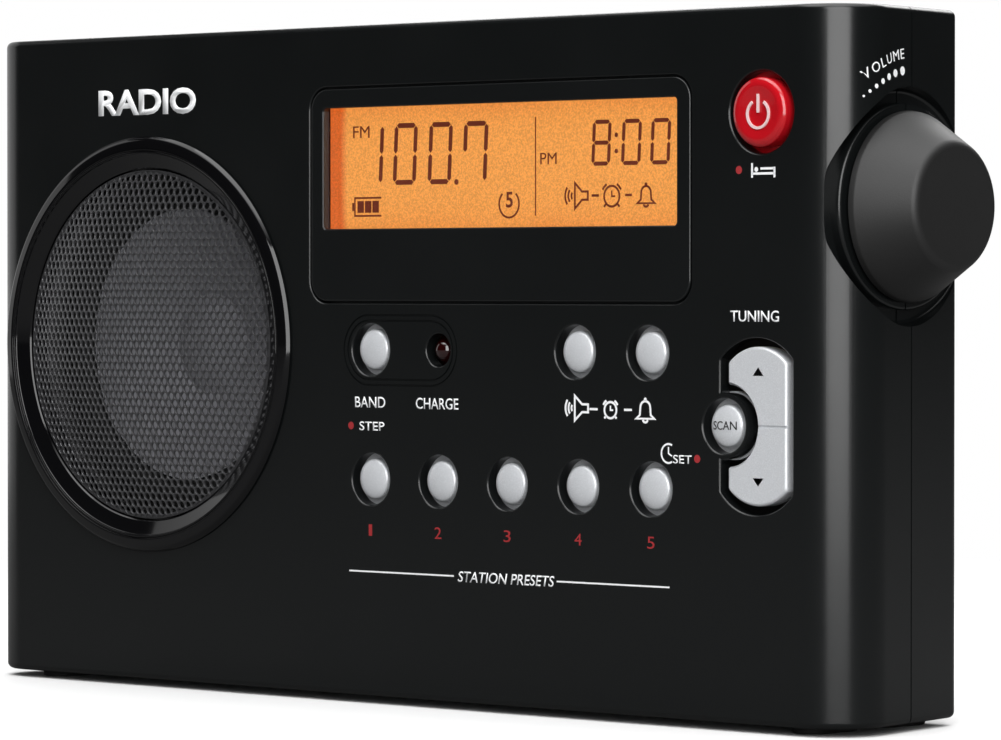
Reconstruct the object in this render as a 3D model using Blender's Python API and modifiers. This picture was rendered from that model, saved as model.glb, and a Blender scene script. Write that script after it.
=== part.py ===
"""A portable tabletop radio, built piece by piece the way it comes apart on a bench.

Units are metres and +Z is up. The radio faces -Y, and +X is its volume-knob side. Every size
below is measured in the casing's own frame: X from the middle of the casing, Y back from the
front panel, Z up from the casing's underside. An empty then carries the whole radio so that
its bounding box is centred over the origin and its feet stand on Z = 0.
"""

import math

import bmesh
import bpy
from mathutils import Matrix, Vector

# ---- general fits ----
GAP = 0.0003  # clearance between pieces that touch
WALL = 0.0022  # casing wall
ROUND_STEPS = 24  # sides of a middling round piece
SMALL_STEPS = 16  # sides of a small round piece

# ---- casing ----
CASE_WIDTH = 0.192
CASE_HEIGHT = 0.108
SIDE_DEPTH = 0.0334  # front panel to the back of the sides
PARTING_Y = 0.0182  # where the front and rear shells meet
CORNER_RADIUS = 0.009  # upright corners at the front
REAR_CORNER_RADIUS = 0.003
SIDE_TAPER = math.radians(10.4)  # each side leans in towards the back
EDGE_ROUND = 0.001
HUMP_WIDTH = 0.150
HUMP_BOTTOM = 0.0025
HUMP_SHOULDER = 0.0110  # from its top to the top of the casing
HUMP_ROUND = 0.0014
FOOT_HEIGHT = 0.0012
FOOT_WIDTH = 0.006
FOOT_LENGTH = 0.012
FOOT_SIDE_MARGIN = 0.0115  # from a foot's middle to the side
FOOT_FRONT_Y = 0.0100
FOOT_REAR_Y = 0.0262

# ---- loudspeaker ----
SPEAKER_X = -0.0552
SPEAKER_Z = 0.0562
BEZEL_FOOT_WIDTH = 0.0056  # each width runs outwards from the grille
BEZEL_RIM_WIDTH = 0.0028
BEZEL_PROUD = 0.0012
BEZEL_BARREL_WIDTH = 0.0020
BEZEL_LEDGE = 0.0012  # what the grille rests on
BEZEL_LEDGE_THICK = 0.0009
BEZEL_LIP = 0.0006
BEZEL_BARREL_DEPTH = 0.0026
GRILLE_RADIUS = 0.0292
GRILLE_EDGE_Y = 0.0005
GRILLE_SAG = 0.0042
GRILLE_SHEET = 0.0008
DRIVER_LAP = 0.0033  # from the edge of the grille to the edge of the driver
FLANGE_WIDTH = 0.0040
BASKET_WALL = 0.0010
DRIVER_Y = 0.0030
FLANGE_THICK = 0.0016
SURROUND_WIDTH = 0.0057  # from the cone to the inside of the flange
SURROUND_RISE = 0.0012
SURROUND_LAND = 0.0007  # flat place that is glued at each edge
CONE_EDGE_Y = 0.0092
CONE_DEPTH = 0.0060
CONE_THICK = 0.0006
DUST_CAP_RADIUS = 0.0085
DUST_CAP_SAG = 0.0020
BASKET_BACK_Y = 0.0190
MAGNET_RADIUS = 0.0150
MAGNET_DEPTH = 0.0055

# ---- display ----
PLATE_LEFT, PLATE_RIGHT = -0.0158, 0.0661
PLATE_BOTTOM, PLATE_TOP = 0.0635, 0.0978
PLATE_ROUND = 0.0034
PLATE_THICK = 0.0010
WINDOW_LEFT, WINDOW_RIGHT = -0.0130, 0.0633
WINDOW_BOTTOM, WINDOW_TOP = 0.0752, 0.0947
WINDOW_ROUND = 0.0006
LENS_THICK = 0.0008
LCD_THICK = 0.0014
LIGHT_THICK = 0.0030
LENS_BORDER = 0.0016

# ---- front controls ----
BUTTON_RADIUS = 0.0033
BUTTON_CLEAR = 0.0009
BUTTON_PROUD = 0.0009
BUTTON_TRAVEL = 0.0006
FLANGE_LAP = 0.0019  # how far a flange reaches past its cap
BUTTON_FLANGE = 0.0008
STEM_RADIUS = 0.0016
STEM_END_Y = 0.0084
BAND_X = -0.0022
UPPER_ROW_Z = 0.0558
CHARGE_X = 0.0129
CHARGE_RADIUS = 0.0019
CHARGE_CLEAR = 0.0007
CHARGE_SAG = 0.0014
CHARGE_SINK = 0.0002
CHARGE_LAP = 0.0002
CHARGE_SHOULDER_Y = 0.0030
ALARM_XS = (0.0424, 0.0575)
PRESET_FIRST_X = -0.0022
PRESET_PITCH = 0.0151
PRESET_COUNT = 5
PRESET_Z = 0.0350
SCAN_X, SCAN_Z = 0.0729, 0.0449
POWER_X, POWER_Z = 0.0803, 0.0920
POWER_RADIUS = 0.0053
ROCKER_X = 0.0793
ROCKER_HALF_WIDTH = 0.0058
ROCKER_HALF_HEIGHT = 0.0120
ROCKER_CROWN = 0.0081  # radius of its round ends
ROCKER_CLEAR = 0.0013
ROCKER_PROUD = 0.0008
ROCKER_BITE_CLEAR = 0.0012  # from the scan button's collar
ROCKER_BACK_Y = 0.0030
ROCKER_PIVOT_Y = 0.0052
ROCKER_STEM_Z = 0.0080  # from its middle to each stem
ROCKER_BOSS_HALF = 0.0018
SCAN_COLLAR_WALL = 0.0008
PIN_RADIUS = 0.0008
PIN_POST_WIDTH = 0.0020
PIN_POST_HOLD = 0.0018  # length of the pin in its post

# ---- volume control ----
KNOB_Y = PARTING_Y
KNOB_Z = 0.0779
KNOB_SEAT_X = CASE_WIDTH / 2 - 0.0027
KNOB_BASE_RADIUS = 0.0145
KNOB_END_RADIUS = 0.0097
KNOB_LENGTH = 0.0092
KNOB_LIFT = 0.0006
KNOB_SOFT = 0.0010  # size of its softened edges
SEAT_RADIUS = 0.0162
DISH_RADIUS = 0.0185
SEAT_BOSS = 0.0040  # thickness of the casing behind the knob
BOSS_MARGIN = 0.0015
SHAFT_RADIUS = 0.0030
SHAFT_DEPTH = 0.0070  # how far it reaches into the knob
SHAFT_FIT = 0.0002
POT_RADIUS = 0.0080
POT_LENGTH = 0.0080
BUSH_RADIUS = 0.0046

# ---- electronics ----
BOARD_THICK = 0.0016
BOARD_LEFT = -0.0170
BOARD_SIDE_MARGIN = 0.0080  # from the board to the side
POT_ROOM = 0.0010  # between the board and the volume control
BOARD_BOTTOM = 0.0265
KEY_MAT_THICK = 0.0012
KEY_MAT_MARGIN = 0.0060
SWITCH_SIZE = 0.0060
FERRITE_LENGTH = 0.080
FERRITE_RADIUS = 0.0040
FERRITE_X, FERRITE_Y = 0.0280, 0.0240
COIL_LENGTH = 0.016
COIL_WALL = 0.0012

# ---- jacks on the left side ----
JACK_Y = 0.0260
JACK_RADIUS = 0.0034
JACK_BORE = 0.00185
JACK_LENGTH = 0.0100
JACK_FLOOR = 0.0010
JACK_INSET = 0.0008  # how far a nose keeps inside the side
DC_JACK_RADIUS = 0.0042
DC_JACK_BORE = 0.0028
DC_PIN_RADIUS = 0.0009
DC_PIN_SINK = 0.0008
JACK_ZS = {"headphone_jack": 0.040, "line_in_jack": 0.052}
DC_JACK_Z = 0.028

# ---- battery bay ----
CELL_RADIUS = 0.0071
CELL_LENGTH = 0.0502
CELL_SPARE_Z = 0.0010  # between the two rows
CELL_SPARE_Y = 0.0011  # between a cell and the door
CELL_NUB_RADIUS = 0.0027
CELL_NUB = 0.0012
CONTACT_THICK = 0.0005
CONTACT_MARGIN = 0.0010
BAY_WALL = 0.0015
BAY_BOTTOM = 0.0076
BAY_FRONT_Y = 0.0276
DOOR_THICK = 0.0018
DOOR_LAP = 0.0018

# ---- screws, from the back into posts of the front shell ----
SCREW_HEAD_RADIUS = 0.0026
SCREW_HEAD = 0.0016
SCREW_RADIUS = 0.0012
SCREW_LENGTH = 0.0140
SCREW_SINK = 0.0060  # depth of the tunnel that holds its head
PILOT_SPARE = 0.0010  # how far its hole runs past its tip
SCREW_POST_RADIUS = 0.0046
SCREW_SIDE_MARGIN = 0.0130  # from the low screws to the side
SCREW_LOW_Z = 0.0062
SCREW_HIGH_X = 0.0600
SCREW_TOP_MARGIN = 0.0066  # from the high screws to the top

# ---- telescopic aerial, folded along the top at the back ----
AERIAL_PIVOT_X = -0.0680
AERIAL_RISE = 0.0060  # of its tilting axis over the hump
AERIAL_SECTION = 0.0980
AERIAL_ROOT = 0.0045  # from the tilting axis to the first tube
AERIAL_TIP_ROUND = 0.0008
AERIAL_RADII = (0.0028, 0.0021, 0.0014)
AERIAL_TUBE_WALL = 0.0005
AERIAL_STEP = 0.0020  # how much of each section shows past the one before it
AERIAL_TIP_RADIUS = 0.0026
AERIAL_TIP_LENGTH = 0.0060
FORK_RADIUS = 0.0036
FORK_GAP = 0.0030
FORK_CHEEK = 0.0019
FORK_BASE = 0.0018
FORK_HALF_WIDTH = 0.0028
KNUCKLE_RADIUS = 0.0026
SPIGOT_RADIUS = 0.0020
SPIGOT_LENGTH = 0.0046
AERIAL_RING_RADIUS = 0.0033
AERIAL_RING_THICK = 0.0010
AERIAL_PIN_RADIUS = 0.0010

OVER = 0.002  # how far a cutter runs past what it cuts
LONG = 0.02  # length of a cutter that runs out of the casing

# ---- worked out from the sizes above ----
HUMP_TOP = CASE_HEIGHT - HUMP_SHOULDER
AERIAL_Z = HUMP_TOP + AERIAL_RISE
FOOT_X = CASE_WIDTH / 2 - FOOT_SIDE_MARGIN
SCREW_LOW_X = CASE_WIDTH / 2 - SCREW_SIDE_MARGIN
SCREW_HIGH_Z = CASE_HEIGHT - SCREW_TOP_MARGIN
BOARD_RIGHT = CASE_WIDTH / 2 - BOARD_SIDE_MARGIN
BEZEL_FOOT_RADIUS = GRILLE_RADIUS + BEZEL_FOOT_WIDTH
BEZEL_RIM_RADIUS = GRILLE_RADIUS + BEZEL_RIM_WIDTH
BEZEL_BARREL_RADIUS = GRILLE_RADIUS + BEZEL_BARREL_WIDTH
DRIVER_RADIUS = GRILLE_RADIUS + DRIVER_LAP
CONE_RADIUS = DRIVER_RADIUS - FLANGE_WIDTH - SURROUND_WIDTH
CHARGE_HOLE = CHARGE_RADIUS + CHARGE_CLEAR
SCAN_COLLAR = BUTTON_RADIUS + BUTTON_CLEAR + SCAN_COLLAR_WALL
ROCKER_BITE = SCAN_COLLAR + ROCKER_BITE_CLEAR
CELL_PITCH_Z = 2 * CELL_RADIUS + CELL_SPARE_Z
CELL_ROOM = GAP + 2 * CELL_RADIUS + CELL_SPARE_Y
WINDOW_LEDGE_Y = PLATE_THICK + GAP
LENS_Y = WALL + GAP
LCD_Y = LENS_Y + LENS_THICK + GAP
LIGHT_Y = LCD_Y + LCD_THICK + GAP
KNOB_BASE_X = KNOB_SEAT_X + KNOB_LIFT
KNOB_END_X = KNOB_BASE_X + KNOB_LENGTH
HUMP_Y = BAY_FRONT_Y + CELL_ROOM + DOOR_THICK
AERIAL_Y = HUMP_Y - WALL - GAP - AERIAL_RING_RADIUS
DOOR_Y = HUMP_Y - DOOR_THICK
BAY_HALF_WIDTH = CELL_LENGTH + 2 * GAP + 2 * (CONTACT_THICK + GAP)
BAY_TOP = BAY_BOTTOM + 2 * CELL_PITCH_Z
CELL_Y = BAY_FRONT_Y + GAP + CELL_RADIUS
BUTTON_FLANGE_Y = WALL + 0.0004
KEY_MAT_Y = STEM_END_Y + BUTTON_TRAVEL + GAP
GRILLE_APEX_Y = GRILLE_EDGE_Y - GRILLE_SAG
SCREW_TIP_Y = SIDE_DEPTH - SCREW_SINK - SCREW_LENGTH
POT_FRONT_X = KNOB_SEAT_X - SEAT_BOSS - GAP
BOARD_FRONT_Y = KEY_MAT_Y + KEY_MAT_THICK + GAP
DOOR_BOTTOM = BAY_BOTTOM - DOOR_LAP
BOARD_TOP = SCREW_HIGH_Z - SCREW_POST_RADIUS - 2 * GAP
FERRITE_Z = SCREW_HIGH_Z - SCREW_POST_RADIUS - FERRITE_RADIUS - 3 * GAP
RADIO_SHIFT_X = -(KNOB_END_X - CASE_WIDTH / 2) / 2
RADIO_SHIFT_Y = -(GRILLE_APEX_Y + HUMP_Y) / 2

for old in list(bpy.data.objects):
    bpy.data.objects.remove(old, do_unlink=True)

parts = bpy.data.collections.new("tabletop_radio")
cutters = bpy.data.collections.new("cutters")
bpy.context.scene.collection.children.link(parts)
bpy.context.scene.collection.children.link(cutters)

radio = bpy.data.objects.new("radio_frame", None)
radio.location = (RADIO_SHIFT_X, RADIO_SHIFT_Y, FOOT_HEIGHT)
parts.objects.link(radio)


# ---- materials ----
def finish(name, colour, roughness, metallic=0.0, alpha=1.0, glow=0.0):
    """A Principled material of one colour."""
    made = bpy.data.materials.new(name)
    made.use_nodes = True
    shader = made.node_tree.nodes["Principled BSDF"]
    shader.inputs["Base Color"].default_value = (*colour, 1.0)
    shader.inputs["Roughness"].default_value = roughness
    shader.inputs["Metallic"].default_value = metallic
    shader.inputs["Alpha"].default_value = alpha
    shader.inputs["Emission Color"].default_value = (*colour, 1.0)
    shader.inputs["Emission Strength"].default_value = glow
    return made


SATIN_BLACK = finish("satin_black_plastic", (0.016, 0.018, 0.019), 0.45)
GLOSS_BLACK = finish("gloss_black_plastic", (0.010, 0.010, 0.011), 0.12)
GRILLE_BLACK = finish("painted_steel_mesh", (0.03, 0.03, 0.032), 0.35, 0.6)
SOFT_BLACK = finish("soft_touch_rubber", (0.03, 0.03, 0.031), 0.7)
SILVER = finish("silver_plastic", (0.72, 0.73, 0.74), 0.35, 0.4)
RED = finish("red_plastic", (0.75, 0.02, 0.03), 0.25)
PAPER = finish("cone_paper", (0.16, 0.16, 0.17), 0.85)
STEEL = finish("plated_steel", (0.6, 0.6, 0.6), 0.3, 1.0)
FERRITE = finish("ferrite", (0.05, 0.05, 0.05), 0.6)
COPPER = finish("copper_wire", (0.72, 0.36, 0.18), 0.35, 1.0)
BOARD_GREEN = finish("circuit_board", (0.03, 0.16, 0.06), 0.5)
CLEAR = finish("clear_acrylic", (0.9, 0.9, 0.9), 0.05, 0.0, 0.3)
LCD = finish("lcd_glass", (0.85, 0.45, 0.16), 0.2)
BACKLIGHT = finish("backlight_guide", (1.0, 0.55, 0.2), 0.4, 0.0, 1.0, 0.8)
LED_RED = finish("led_lens", (0.18, 0.01, 0.01), 0.1)
CELL_JACKET = finish("cell_jacket", (0.09, 0.10, 0.12), 0.35)


# ---- modelling helpers ----
def place(name, mesh, home, material=None, parent=None, at=(0, 0, 0)):
    """A new object in a collection, under the radio's frame or another object."""
    made = bpy.data.objects.new(name, mesh)
    home.objects.link(made)
    made.location = at
    made.parent = parent or radio
    if material:
        mesh.materials.append(material)
    if home is cutters:
        made.hide_render = True
        made.display_type = "WIRE"
    return made


def block(name, low, high, home=parts, material=None):
    """A box between two corners, with its origin in the middle."""
    size = Vector(high) - Vector(low)
    shape = bmesh.new()
    bmesh.ops.create_cube(shape, size=1.0)
    bmesh.ops.scale(shape, vec=size, verts=shape.verts)
    mesh = bpy.data.meshes.new(name)
    shape.to_mesh(mesh)
    shape.free()
    middle = (Vector(high) + Vector(low)) / 2
    return place(name, mesh, home, material, at=middle)


TURN_TO = {
    "-Y": Matrix.Rotation(math.radians(90), 4, "X"),
    "+Y": Matrix.Rotation(math.radians(-90), 4, "X"),
    "+X": Matrix.Rotation(math.radians(90), 4, "Y"),
    "-X": Matrix.Rotation(math.radians(-90), 4, "Y"),
    "+Z": Matrix.Identity(4),
}


def turned(name, profile, at, facing, home=parts, material=None, steps=ROUND_STEPS, ring=False):
    """A turned piece. The profile holds (radius, height) pairs from the top down the outer side,
    and its height runs along the way the piece faces. A ring's profile closes on itself. A cutter
    starts a little way round, so that its corners keep off the corners of what it cuts."""
    mesh = bpy.data.meshes.new(name)
    twist = math.pi / (2 * steps) if home is cutters else 0.0
    points = [(r * math.cos(twist), r * math.sin(twist), height) for r, height in profile]
    edges = [(i, i + 1) for i in range(len(points) - 1)]
    if ring:
        edges.append((len(points) - 1, 0))
    mesh.from_pydata(points, edges, [])
    made = place(name, mesh, home, material, at=at)
    made.rotation_euler = TURN_TO[facing].to_euler()
    screw = made.modifiers.new("turn", "SCREW")
    screw.steps = steps
    screw.render_steps = steps
    screw.use_merge_vertices = True
    screw.merge_threshold = 0.00001
    screw.use_smooth_shade = True
    return made


def rod(name, radius, length, at, facing, home=parts, material=None, steps=ROUND_STEPS):
    """A plain cylinder that starts at a point and runs the way it faces."""
    profile = [(0, length), (radius, length), (radius, 0), (0, 0)]
    return turned(name, profile, at, facing, home, material, steps)


def slab(name, outline, thickness, at, turn=None, home=parts, material=None):
    """A flat outline given a thickness about the plane it lies in."""
    curve = bpy.data.curves.new(name, "CURVE")
    curve.dimensions = "2D"
    curve.fill_mode = "BOTH"
    curve.extrude = thickness / 2
    spline = curve.splines.new("POLY")
    spline.points.add(len(outline) - 1)
    for point, (x, y) in zip(spline.points, outline):
        point.co = (x, y, 0.0, 1.0)
    spline.use_cyclic_u = True
    drawn = bpy.data.objects.new(name + "_outline", curve)
    bpy.context.scene.collection.objects.link(drawn)
    bpy.context.view_layer.update()
    evaluated = drawn.evaluated_get(bpy.context.evaluated_depsgraph_get())
    mesh = bpy.data.meshes.new_from_object(evaluated)
    bpy.data.objects.remove(drawn)
    bpy.data.curves.remove(curve)
    shape = bmesh.new()
    shape.from_mesh(mesh)
    bmesh.ops.remove_doubles(shape, verts=shape.verts, dist=0.000001)
    bmesh.ops.recalc_face_normals(shape, faces=shape.faces)
    shape.to_mesh(mesh)
    shape.free()
    mesh.name = name
    made = place(name, mesh, home, material, at=at)
    if turn:
        made.rotation_euler = turn.to_euler()
    return made


def boolean(target, tool, operation="DIFFERENCE"):
    """Cuts a piece with a cutter, or joins one to it."""
    modifier = target.modifiers.new(operation.lower(), "BOOLEAN")
    modifier.operation = operation
    modifier.solver = "EXACT"
    modifier.object = tool


def weld(target):
    """Closes the hair-thin faces that cuts leave behind."""
    modifier = target.modifiers.new("weld", "WELD")
    modifier.merge_threshold = 0.00002


def bevel(target, width, segments=2, angle=40):
    """Rounds the edges that are sharper than the angle in degrees."""
    modifier = target.modifiers.new("rounded_edges", "BEVEL")
    modifier.width = width
    modifier.segments = segments
    modifier.limit_method = "ANGLE"
    modifier.angle_limit = math.radians(angle)


def arc(x, y, radius, start, end, steps):
    """Points of an arc between two angles in degrees, both ends included."""
    turns = [math.radians(start + (end - start) * i / steps) for i in range(steps + 1)]
    return [(x + radius * math.cos(t), y + radius * math.sin(t)) for t in turns]


def rounded_box(left, right, bottom, top, radius, steps=3):
    """The outline of a rectangle with round corners, anticlockwise."""
    points = arc(right - radius, bottom + radius, radius, -90, 0, steps)
    points += arc(right - radius, top - radius, radius, 0, 90, steps)
    points += arc(left + radius, top - radius, radius, 90, 180, steps)
    return points + arc(left + radius, bottom + radius, radius, 180, 270, steps)


def case_outline(inset):
    """The casing seen from above, anticlockwise: round corners at the front, sides that lean in,
    and small round corners at the back. The inset moves it all inwards."""
    radius = CORNER_RADIUS - inset
    rear_radius = max(REAR_CORNER_RADIUS - inset, GAP)
    lean = math.degrees(SIDE_TAPER)
    middle_x = CASE_WIDTH / 2 - CORNER_RADIUS
    right = arc(middle_x, CORNER_RADIUS, radius, -90, 0, 6)
    right += arc(middle_x, CORNER_RADIUS, radius, 0, lean, 1)[1:]
    side_x, side_y = right[-1]
    rear_y = SIDE_DEPTH - inset - rear_radius
    side = side_x * math.cos(SIDE_TAPER) + side_y * math.sin(SIDE_TAPER)
    rear_x = (side - rear_radius - rear_y * math.sin(SIDE_TAPER)) / math.cos(SIDE_TAPER)
    right += arc(rear_x, rear_y, rear_radius, lean, 90, 3)
    return right + [(-x, y) for x, y in reversed(right)]


FRONT_TURN = TURN_TO["-Y"]  # lays a flat outline in the X-Z plane, facing -Y


def rocker_outline(grow):
    """The tuning rocker from the front: straight sides and round ends, before the bite."""
    half = ROCKER_HALF_WIDTH + grow
    crown = ROCKER_CROWN + grow
    rise = ROCKER_HALF_HEIGHT - ROCKER_CROWN
    spread = math.degrees(math.asin(half / crown))
    top = arc(0, rise, crown, 90 - spread, 90 + spread, 8)
    bottom = arc(0, -rise, crown, 270 - spread, 270 + spread, 8)
    return top + bottom


def foot_outline():
    """A foot from below: a bar with round ends that runs front to back."""
    reach = (FOOT_LENGTH - FOOT_WIDTH) / 2
    radius = FOOT_WIDTH / 2
    return arc(0, reach, radius, 0, 180, 6) + arc(0, -reach, radius, 180, 360, 6)


def pivot(name, at):
    """An empty on a joint's axis, for a moving piece to hang on."""
    made = bpy.data.objects.new(name, None)
    parts.objects.link(made)
    made.parent = radio
    made.location = at
    return made


def hang(piece, empty):
    """Puts a piece under a pivot without moving it."""
    piece.parent = empty
    piece.location = piece.location - empty.location


def front_hole(name, radius, x, z, depth=WALL + OVER):
    """A round cutter through the front panel."""
    return rod(name, radius, 2 * OVER + depth, (x, depth, z), "-Y", cutters)


# ---- casing ----
def case_blank(name, material):
    """The solid casing without its hump, with its edges rounded."""
    middle = (0, 0, CASE_HEIGHT / 2)
    made = slab(name, case_outline(0), CASE_HEIGHT, middle, material=material)
    bevel(made, EDGE_ROUND)
    return made


def case_cavity(name):
    """The hollow of the casing, with a thick place left behind the volume knob."""
    height = CASE_HEIGHT - 2 * WALL
    made = slab(name, case_outline(WALL), height, (0, 0, CASE_HEIGHT / 2), home=cutters)
    boss_x = KNOB_SEAT_X - SEAT_BOSS
    boss_at = (boss_x, KNOB_Y, KNOB_Z)
    boss = rod(name + "_boss", DISH_RADIUS + BOSS_MARGIN, LONG, boss_at, "+X", cutters)
    boolean(made, boss)
    return made


def screw_places():
    """Name, x and z of each casing screw."""
    places = []
    for side, sign in (("left", -1), ("right", 1)):
        places.append((f"case_screw_low_{side}", sign * SCREW_LOW_X, SCREW_LOW_Z))
        places.append((f"case_screw_high_{side}", sign * SCREW_HIGH_X, SCREW_HIGH_Z))
    return places


def button_places():
    """Name, x, z and cap radius of each round push button."""
    places = [("power_button", POWER_X, POWER_Z, POWER_RADIUS)]
    places.append(("band_button", BAND_X, UPPER_ROW_Z, BUTTON_RADIUS))
    places.append(("scan_button", SCAN_X, SCAN_Z, BUTTON_RADIUS))
    for i, x in enumerate(ALARM_XS):
        places.append((f"alarm_button_{i + 1}", x, UPPER_ROW_Z, BUTTON_RADIUS))
    for i in range(PRESET_COUNT):
        x = PRESET_FIRST_X + i * PRESET_PITCH
        places.append((f"preset_button_{i + 1}", x, PRESET_Z, BUTTON_RADIUS))
    return places


def cut_knob_seat(shell, name):
    """The round dish that the volume knob stands in, and the hole for its bush."""
    seat = (KNOB_SEAT_X, KNOB_Y, KNOB_Z)
    boolean(shell, rod(name + "_dish", DISH_RADIUS, LONG, seat, "+X", cutters, steps=32))
    hole = (KNOB_SEAT_X - LONG / 2, KNOB_Y, KNOB_Z)
    boolean(shell, rod(name + "_bush_hole", BUSH_RADIUS + GAP, LONG, hole, "+X", cutters))


def build_front_shell():
    """The front half of the casing, with every opening of the front panel."""
    shell = case_blank("front_shell", SATIN_BLACK)
    wide = CASE_WIDTH
    behind = block("front_trim", (-wide, PARTING_Y - GAP / 2, -wide), (wide, wide, wide), cutters)
    boolean(shell, case_cavity("front_cavity"))
    for name, x, z in screw_places():
        length = PARTING_Y - WALL + GAP
        post = rod(name + "_post", SCREW_POST_RADIUS, length, (x, WALL - GAP, z), "+Y", cutters)
        boolean(shell, post, "UNION")
        pilot = (x, PARTING_Y + GAP, z)
        depth = PARTING_Y - SCREW_TIP_Y + PILOT_SPARE
        boolean(shell, rod(name + "_pilot", SCREW_RADIUS + GAP, depth, pilot, "-Y", cutters, steps=12))
    post_x = ROCKER_X + ROCKER_HALF_WIDTH + ROCKER_CLEAR + GAP
    post_low = (post_x, WALL - GAP, SCAN_Z - ROCKER_BOSS_HALF)
    post_high = (post_x + PIN_POST_WIDTH, ROCKER_PIVOT_Y + ROCKER_BOSS_HALF, SCAN_Z + ROCKER_BOSS_HALF)
    boolean(shell, block("rocker_post", post_low, post_high, cutters), "UNION")
    pin_at = (post_x - OVER, ROCKER_PIVOT_Y, SCAN_Z)
    bore_length = PIN_POST_WIDTH + 2 * OVER
    boolean(shell, rod("rocker_post_bore", PIN_RADIUS + GAP, bore_length, pin_at, "+X", cutters, steps=12))
    boolean(shell, behind)
    cut_knob_seat(shell, "front")
    speaker_hole = front_hole("speaker_hole", BEZEL_BARREL_RADIUS + GAP, SPEAKER_X, SPEAKER_Z)
    speaker_hole.modifiers["turn"].steps = 48
    speaker_hole.modifiers["turn"].render_steps = 48
    boolean(shell, speaker_hole)
    plate = rounded_box(
        PLATE_LEFT - GAP, PLATE_RIGHT + GAP, PLATE_BOTTOM - GAP, PLATE_TOP + GAP, PLATE_ROUND
    )
    pocket_depth = 2 * WINDOW_LEDGE_Y
    boolean(shell, slab("plate_pocket", plate, pocket_depth, (0, 0, 0), FRONT_TURN, cutters))
    window = rounded_box(
        WINDOW_LEFT - GAP, WINDOW_RIGHT + GAP, WINDOW_BOTTOM - GAP, WINDOW_TOP + GAP, WINDOW_ROUND
    )
    boolean(shell, slab("window_hole", window, 4 * WALL, (0, 0, 0), FRONT_TURN, cutters))
    for name, x, z, radius in button_places():
        boolean(shell, front_hole(name + "_hole", radius + BUTTON_CLEAR, x, z))
    boolean(shell, front_hole("charge_hole", CHARGE_HOLE, CHARGE_X, UPPER_ROW_Z))
    at = (ROCKER_X, 0, SCAN_Z)
    hole = slab("rocker_hole", rocker_outline(ROCKER_CLEAR), 4 * WALL, at, FRONT_TURN, cutters)
    boolean(hole, front_hole("scan_collar", SCAN_COLLAR, SCAN_X, SCAN_Z, 4 * WALL))
    boolean(shell, hole)
    weld(shell)


def build_rear_shell():
    """The rear half of the casing, with its hump, battery bay, screw tunnels and jack holes."""
    shell = case_blank("rear_shell", SATIN_BLACK)
    wide = CASE_WIDTH
    seat_at = (KNOB_SEAT_X - SEAT_BOSS, KNOB_Y, KNOB_Z)
    boolean(shell, rod("knob_seat", SEAT_RADIUS, SEAT_BOSS, seat_at, "+X", cutters, steps=32), "UNION")
    boolean(shell, block("seat_trim", (0, SIDE_DEPTH, -wide), (wide, wide, wide), cutters))
    half = HUMP_WIDTH / 2
    hump_low = (-half, SIDE_DEPTH - WALL, HUMP_BOTTOM)
    hump = block("hump", hump_low, (half, HUMP_Y, HUMP_TOP), cutters)
    bevel(hump, HUMP_ROUND)
    boolean(shell, hump, "UNION")
    boolean(shell, case_cavity("rear_cavity"))
    hollow_low = (WALL - half, BAY_FRONT_Y, HUMP_BOTTOM + WALL)
    hollow = block("hump_hollow", hollow_low, (half - WALL, HUMP_Y - WALL, HUMP_TOP - WALL), cutters)
    boolean(shell, hollow)
    bay_half = BAY_HALF_WIDTH + BAY_WALL
    bay_low = (-bay_half, BAY_FRONT_Y - BAY_WALL, HUMP_BOTTOM + WALL / 2)
    bay_high = (bay_half, HUMP_Y - WALL / 2, BAY_TOP + BAY_WALL)
    boolean(shell, block("bay_walls", bay_low, bay_high, cutters), "UNION")
    for name, x, z in screw_places():
        start = PARTING_Y + GAP
        length = SIDE_DEPTH - start - WALL / 2
        post = rod(name + "_tunnel", SCREW_POST_RADIUS, length, (x, start, z), "+Y", cutters)
        boolean(shell, post, "UNION")
    boolean(shell, block("rear_trim", (-wide, -wide, -wide), (wide, PARTING_Y + GAP / 2, wide), cutters))
    cut_knob_seat(shell, "rear")
    bay_low = (-BAY_HALF_WIDTH, BAY_FRONT_Y, BAY_BOTTOM)
    boolean(shell, block("bay", bay_low, (BAY_HALF_WIDTH, HUMP_Y + OVER, BAY_TOP), cutters))
    lap = DOOR_LAP + GAP
    lap_low = (-BAY_HALF_WIDTH - lap, DOOR_Y - GAP, BAY_BOTTOM - lap)
    lap_high = (BAY_HALF_WIDTH + lap, HUMP_Y + OVER, BAY_TOP + lap)
    boolean(shell, block("door_rebate", lap_low, lap_high, cutters))
    for name, x, z in screw_places():
        sink = (x, SIDE_DEPTH - SCREW_SINK, z)
        boolean(shell, rod(name + "_sink", SCREW_HEAD_RADIUS + GAP, LONG, sink, "+Y", cutters))
        through = (x, PARTING_Y - OVER, z)
        boolean(shell, rod(name + "_bore", SCREW_RADIUS + GAP, LONG, through, "+Y", cutters, steps=12))
    for name, radius, z in jack_places():
        outside = (-CASE_WIDTH / 2 - OVER, JACK_Y, z)
        length = JACK_LENGTH + 2 * OVER
        hole = rod(name + "_hole", radius + GAP, length, outside, "+X", cutters, steps=SMALL_STEPS)
        boolean(shell, hole)
    aerial_hole = (AERIAL_PIVOT_X, AERIAL_Y, HUMP_TOP - WALL - OVER)
    boolean(shell, rod("aerial_hole", SPIGOT_RADIUS + GAP, LONG / 2, aerial_hole, "+Z", cutters))
    weld(shell)


def jack_places():
    """Name, radius and height of each jack on the left side."""
    places = [(name, JACK_RADIUS, z) for name, z in JACK_ZS.items()]
    places.append(("dc_jack", DC_JACK_RADIUS, DC_JACK_Z))
    return places


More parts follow.
